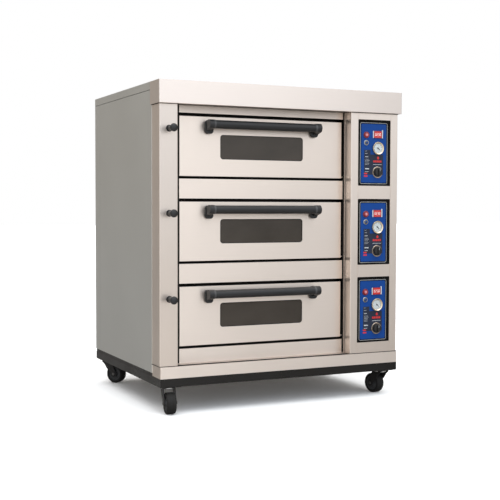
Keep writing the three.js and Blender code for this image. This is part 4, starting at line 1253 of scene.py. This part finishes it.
STUDIO_STRENGTH = 1.80
STUDIO_TONES = (
    (0.10, (0.222, 0.208, 0.190)),
    (0.55, (0.27, 0.258, 0.247)),
    (0.80, (0.48, 0.485, 0.49)),
    (0.93, (0.68, 0.735, 0.80)),
    (1.00, (0.80, 0.88, 0.99)),
)
CAMERA_PLACE = (-2.112, -4.558, 0.9144)
CAMERA_YAW = 25.29
CAMERA_PITCH = 2.52
CAMERA_ROLL = -0.14
LENS_MM = 72.33
SENSOR_MM = 36.0
FLOOR_HALF = 40.0
BOUNCE_AXIS = (0.9, 0.4, 0.0)
BOUNCE_FROM = -1.1
BOUNCE_TO = 0.6
STUDIO_AXIS = (-0.10, -0.86, 0.50)
SKY_ENERGY = 2.6
SKY_ANGLE = math.radians(80.0)
KEY_PLACE = (1.9, -4.6, 3.4)
KEY_TARGET = (0.0, 0.0, 0.8)
KEY_SIZE = (2.4, 1.6)
KEY_POWER = 12.0
KEY_COLOUR = (1.0, 0.985, 0.96)


def add_camera():
    """Long lens a little above mid-height, to the left of the front."""
    lens = bpy.data.cameras.new("studio_camera")
    lens.lens = LENS_MM
    lens.sensor_width = SENSOR_MM
    lens.clip_end = 200.0
    camera = new_object("studio_camera", lens)
    turn = Matrix.Rotation(math.radians(-CAMERA_YAW), 4, "Z")
    tip = Matrix.Rotation(math.radians(90.0 - CAMERA_PITCH), 4, "X")
    roll = Matrix.Rotation(math.radians(-CAMERA_ROLL), 4, "Z")
    camera.matrix_world = Matrix.Translation(CAMERA_PLACE) @ turn @ tip @ roll
    bpy.context.scene.camera = camera


def add_floor():
    """Wide floor, evenly pale to the camera; to other rays its colour is painted darker towards the right and
    the rear, as painted shade on the light it throws back.
    """
    half = FLOOR_HALF
    mesh = bpy.data.meshes.new("floor")
    corners = [(-half, -half, 0), (half, -half, 0), (half, half, 0), (-half, half, 0)]
    mesh.from_pydata(corners, [], [(0, 1, 2, 3)])
    tree, surface = new_shader("studio_floor")
    rays = new_node(tree, "LightPath")
    where = new_node(tree, "TexCoord")
    along = new_node(tree, "VectorMath")
    along.operation = "DOT_PRODUCT"
    along.inputs[1].default_value = BOUNCE_AXIS
    tree.links.new(where.outputs["Object"], along.inputs[0])
    depth = behind_plane(tree, -1.0, 1.0)
    total = new_node(tree, "Math")
    total.operation = "ADD"
    total.use_clamp = True
    share = remapped(tree, along.outputs["Value"], 0.0, 1.0, BOUNCE_FROM, BOUNCE_TO)
    tree.links.new(share, total.inputs[0])
    tree.links.new(depth, total.inputs[1])
    # painted shade: the floor colour seen in reflections falls off to the right and the rear
    bounce = mixed(tree, total.outputs[0], FLOOR_BOUNCE, scaled(FLOOR_BOUNCE, BOUNCE_FALL))
    tint = mixed(tree, rays.outputs["Is Camera Ray"], bounce, FLOOR)
    tree.links.new(tint, surface.inputs["Base Color"])
    fill(surface, {"Roughness": 1.0, "Specular IOR Level": 0.0})
    fill(surface, {"Emission Color": (*FLOOR_GLOW, 1.0), "Emission Strength": FLOOR_GLOW_STRENGTH})
    mesh.materials.append(LOOKS["studio_floor"])
    floor = new_object("floor", mesh)


def add_lights():
    """Soft light from overhead and a weak key light from the front right."""
    sky = bpy.data.lights.new("overhead", "SUN")
    sky.energy = SKY_ENERGY
    sky.angle = SKY_ANGLE
    new_object("overhead", sky)
    light = bpy.data.lights.new("key_light", "AREA")
    light.shape = "RECTANGLE"
    light.size, light.size_y = KEY_SIZE
    light.energy = KEY_POWER
    light.color = KEY_COLOUR
    lamp = new_object("key_light", light)
    aim = Vector(KEY_TARGET) - Vector(KEY_PLACE)
    lamp.rotation_euler = aim.to_track_quat("-Z", "Y").to_euler()
    lamp.location = KEY_PLACE


def add_world():
    """White backdrop; as a light it is bright at the front right and dimmer at the back left."""
    world = bpy.data.worlds.new("studio")
    bpy.context.scene.world = world
    world.use_nodes = True
    tree = world.node_tree
    tree.nodes.clear()
    output = new_node(tree, "OutputWorld")
    seen = new_node(tree, "Background")
    fill(seen, {"Color": (1.0, 1.0, 1.0, 1.0), "Strength": 1.0})
    lighting = new_node(tree, "Background")
    where = new_node(tree, "TexCoord")
    facing = new_node(tree, "VectorMath")
    facing.operation = "DOT_PRODUCT"
    facing.inputs[1].default_value = Vector(STUDIO_AXIS).normalized()
    tree.links.new(where.outputs["Generated"], facing.inputs[0])
    ramp = new_node(tree, "ValToRGB")
    while len(ramp.color_ramp.elements) < len(STUDIO_TONES):
        ramp.color_ramp.elements.new(0.5)
    for stop, (position, colour) in zip(ramp.color_ramp.elements, STUDIO_TONES):
        stop.position = position
        stop.color = (*colour, 1.0)
    tree.links.new(remapped(tree, facing.outputs["Value"], 0.0, 1.0, -1.0, 1.0), ramp.inputs["Fac"])
    tree.links.new(ramp.outputs["Color"], lighting.inputs["Color"])
    fill(lighting, {"Strength": STUDIO_STRENGTH})
    rays = new_node(tree, "LightPath")
    mix = new_node(tree, "MixShader")
    tree.links.new(rays.outputs["Is Camera Ray"], mix.inputs[0])
    tree.links.new(lighting.outputs[0], mix.inputs[1])
    tree.links.new(seen.outputs[0], mix.inputs[2])
    tree.links.new(mix.outputs[0], output.inputs["Surface"])


def main():
    rng = random.Random(SEED)
    bpy.context.scene.view_settings.view_transform = "Standard"
    add_camera()
    add_world()
    add_lights()
    add_floor()
    dress_casing()
    add_casing_seals()
    add_bay_edging()
    add_back_screws()
    for deck in DECKS:
        add_element(f"upper_element_{deck}")
        add_element(f"lower_element_{deck}")
        add_handle(deck)
        add_window_gasket(deck)
        add_control_panel(deck, rng)
        add_needle(deck)
        add_knob(deck)
        add_button(f"power_button_{deck}", "red_lens", "pale_lens")
        add_button(f"light_switch_{deck}", "dark_zinc", "panel_blue")
        add_damper(deck)
    for corner in ("front_left", "front_right", "rear_left", "rear_right"):
        add_caster(corner)


main()
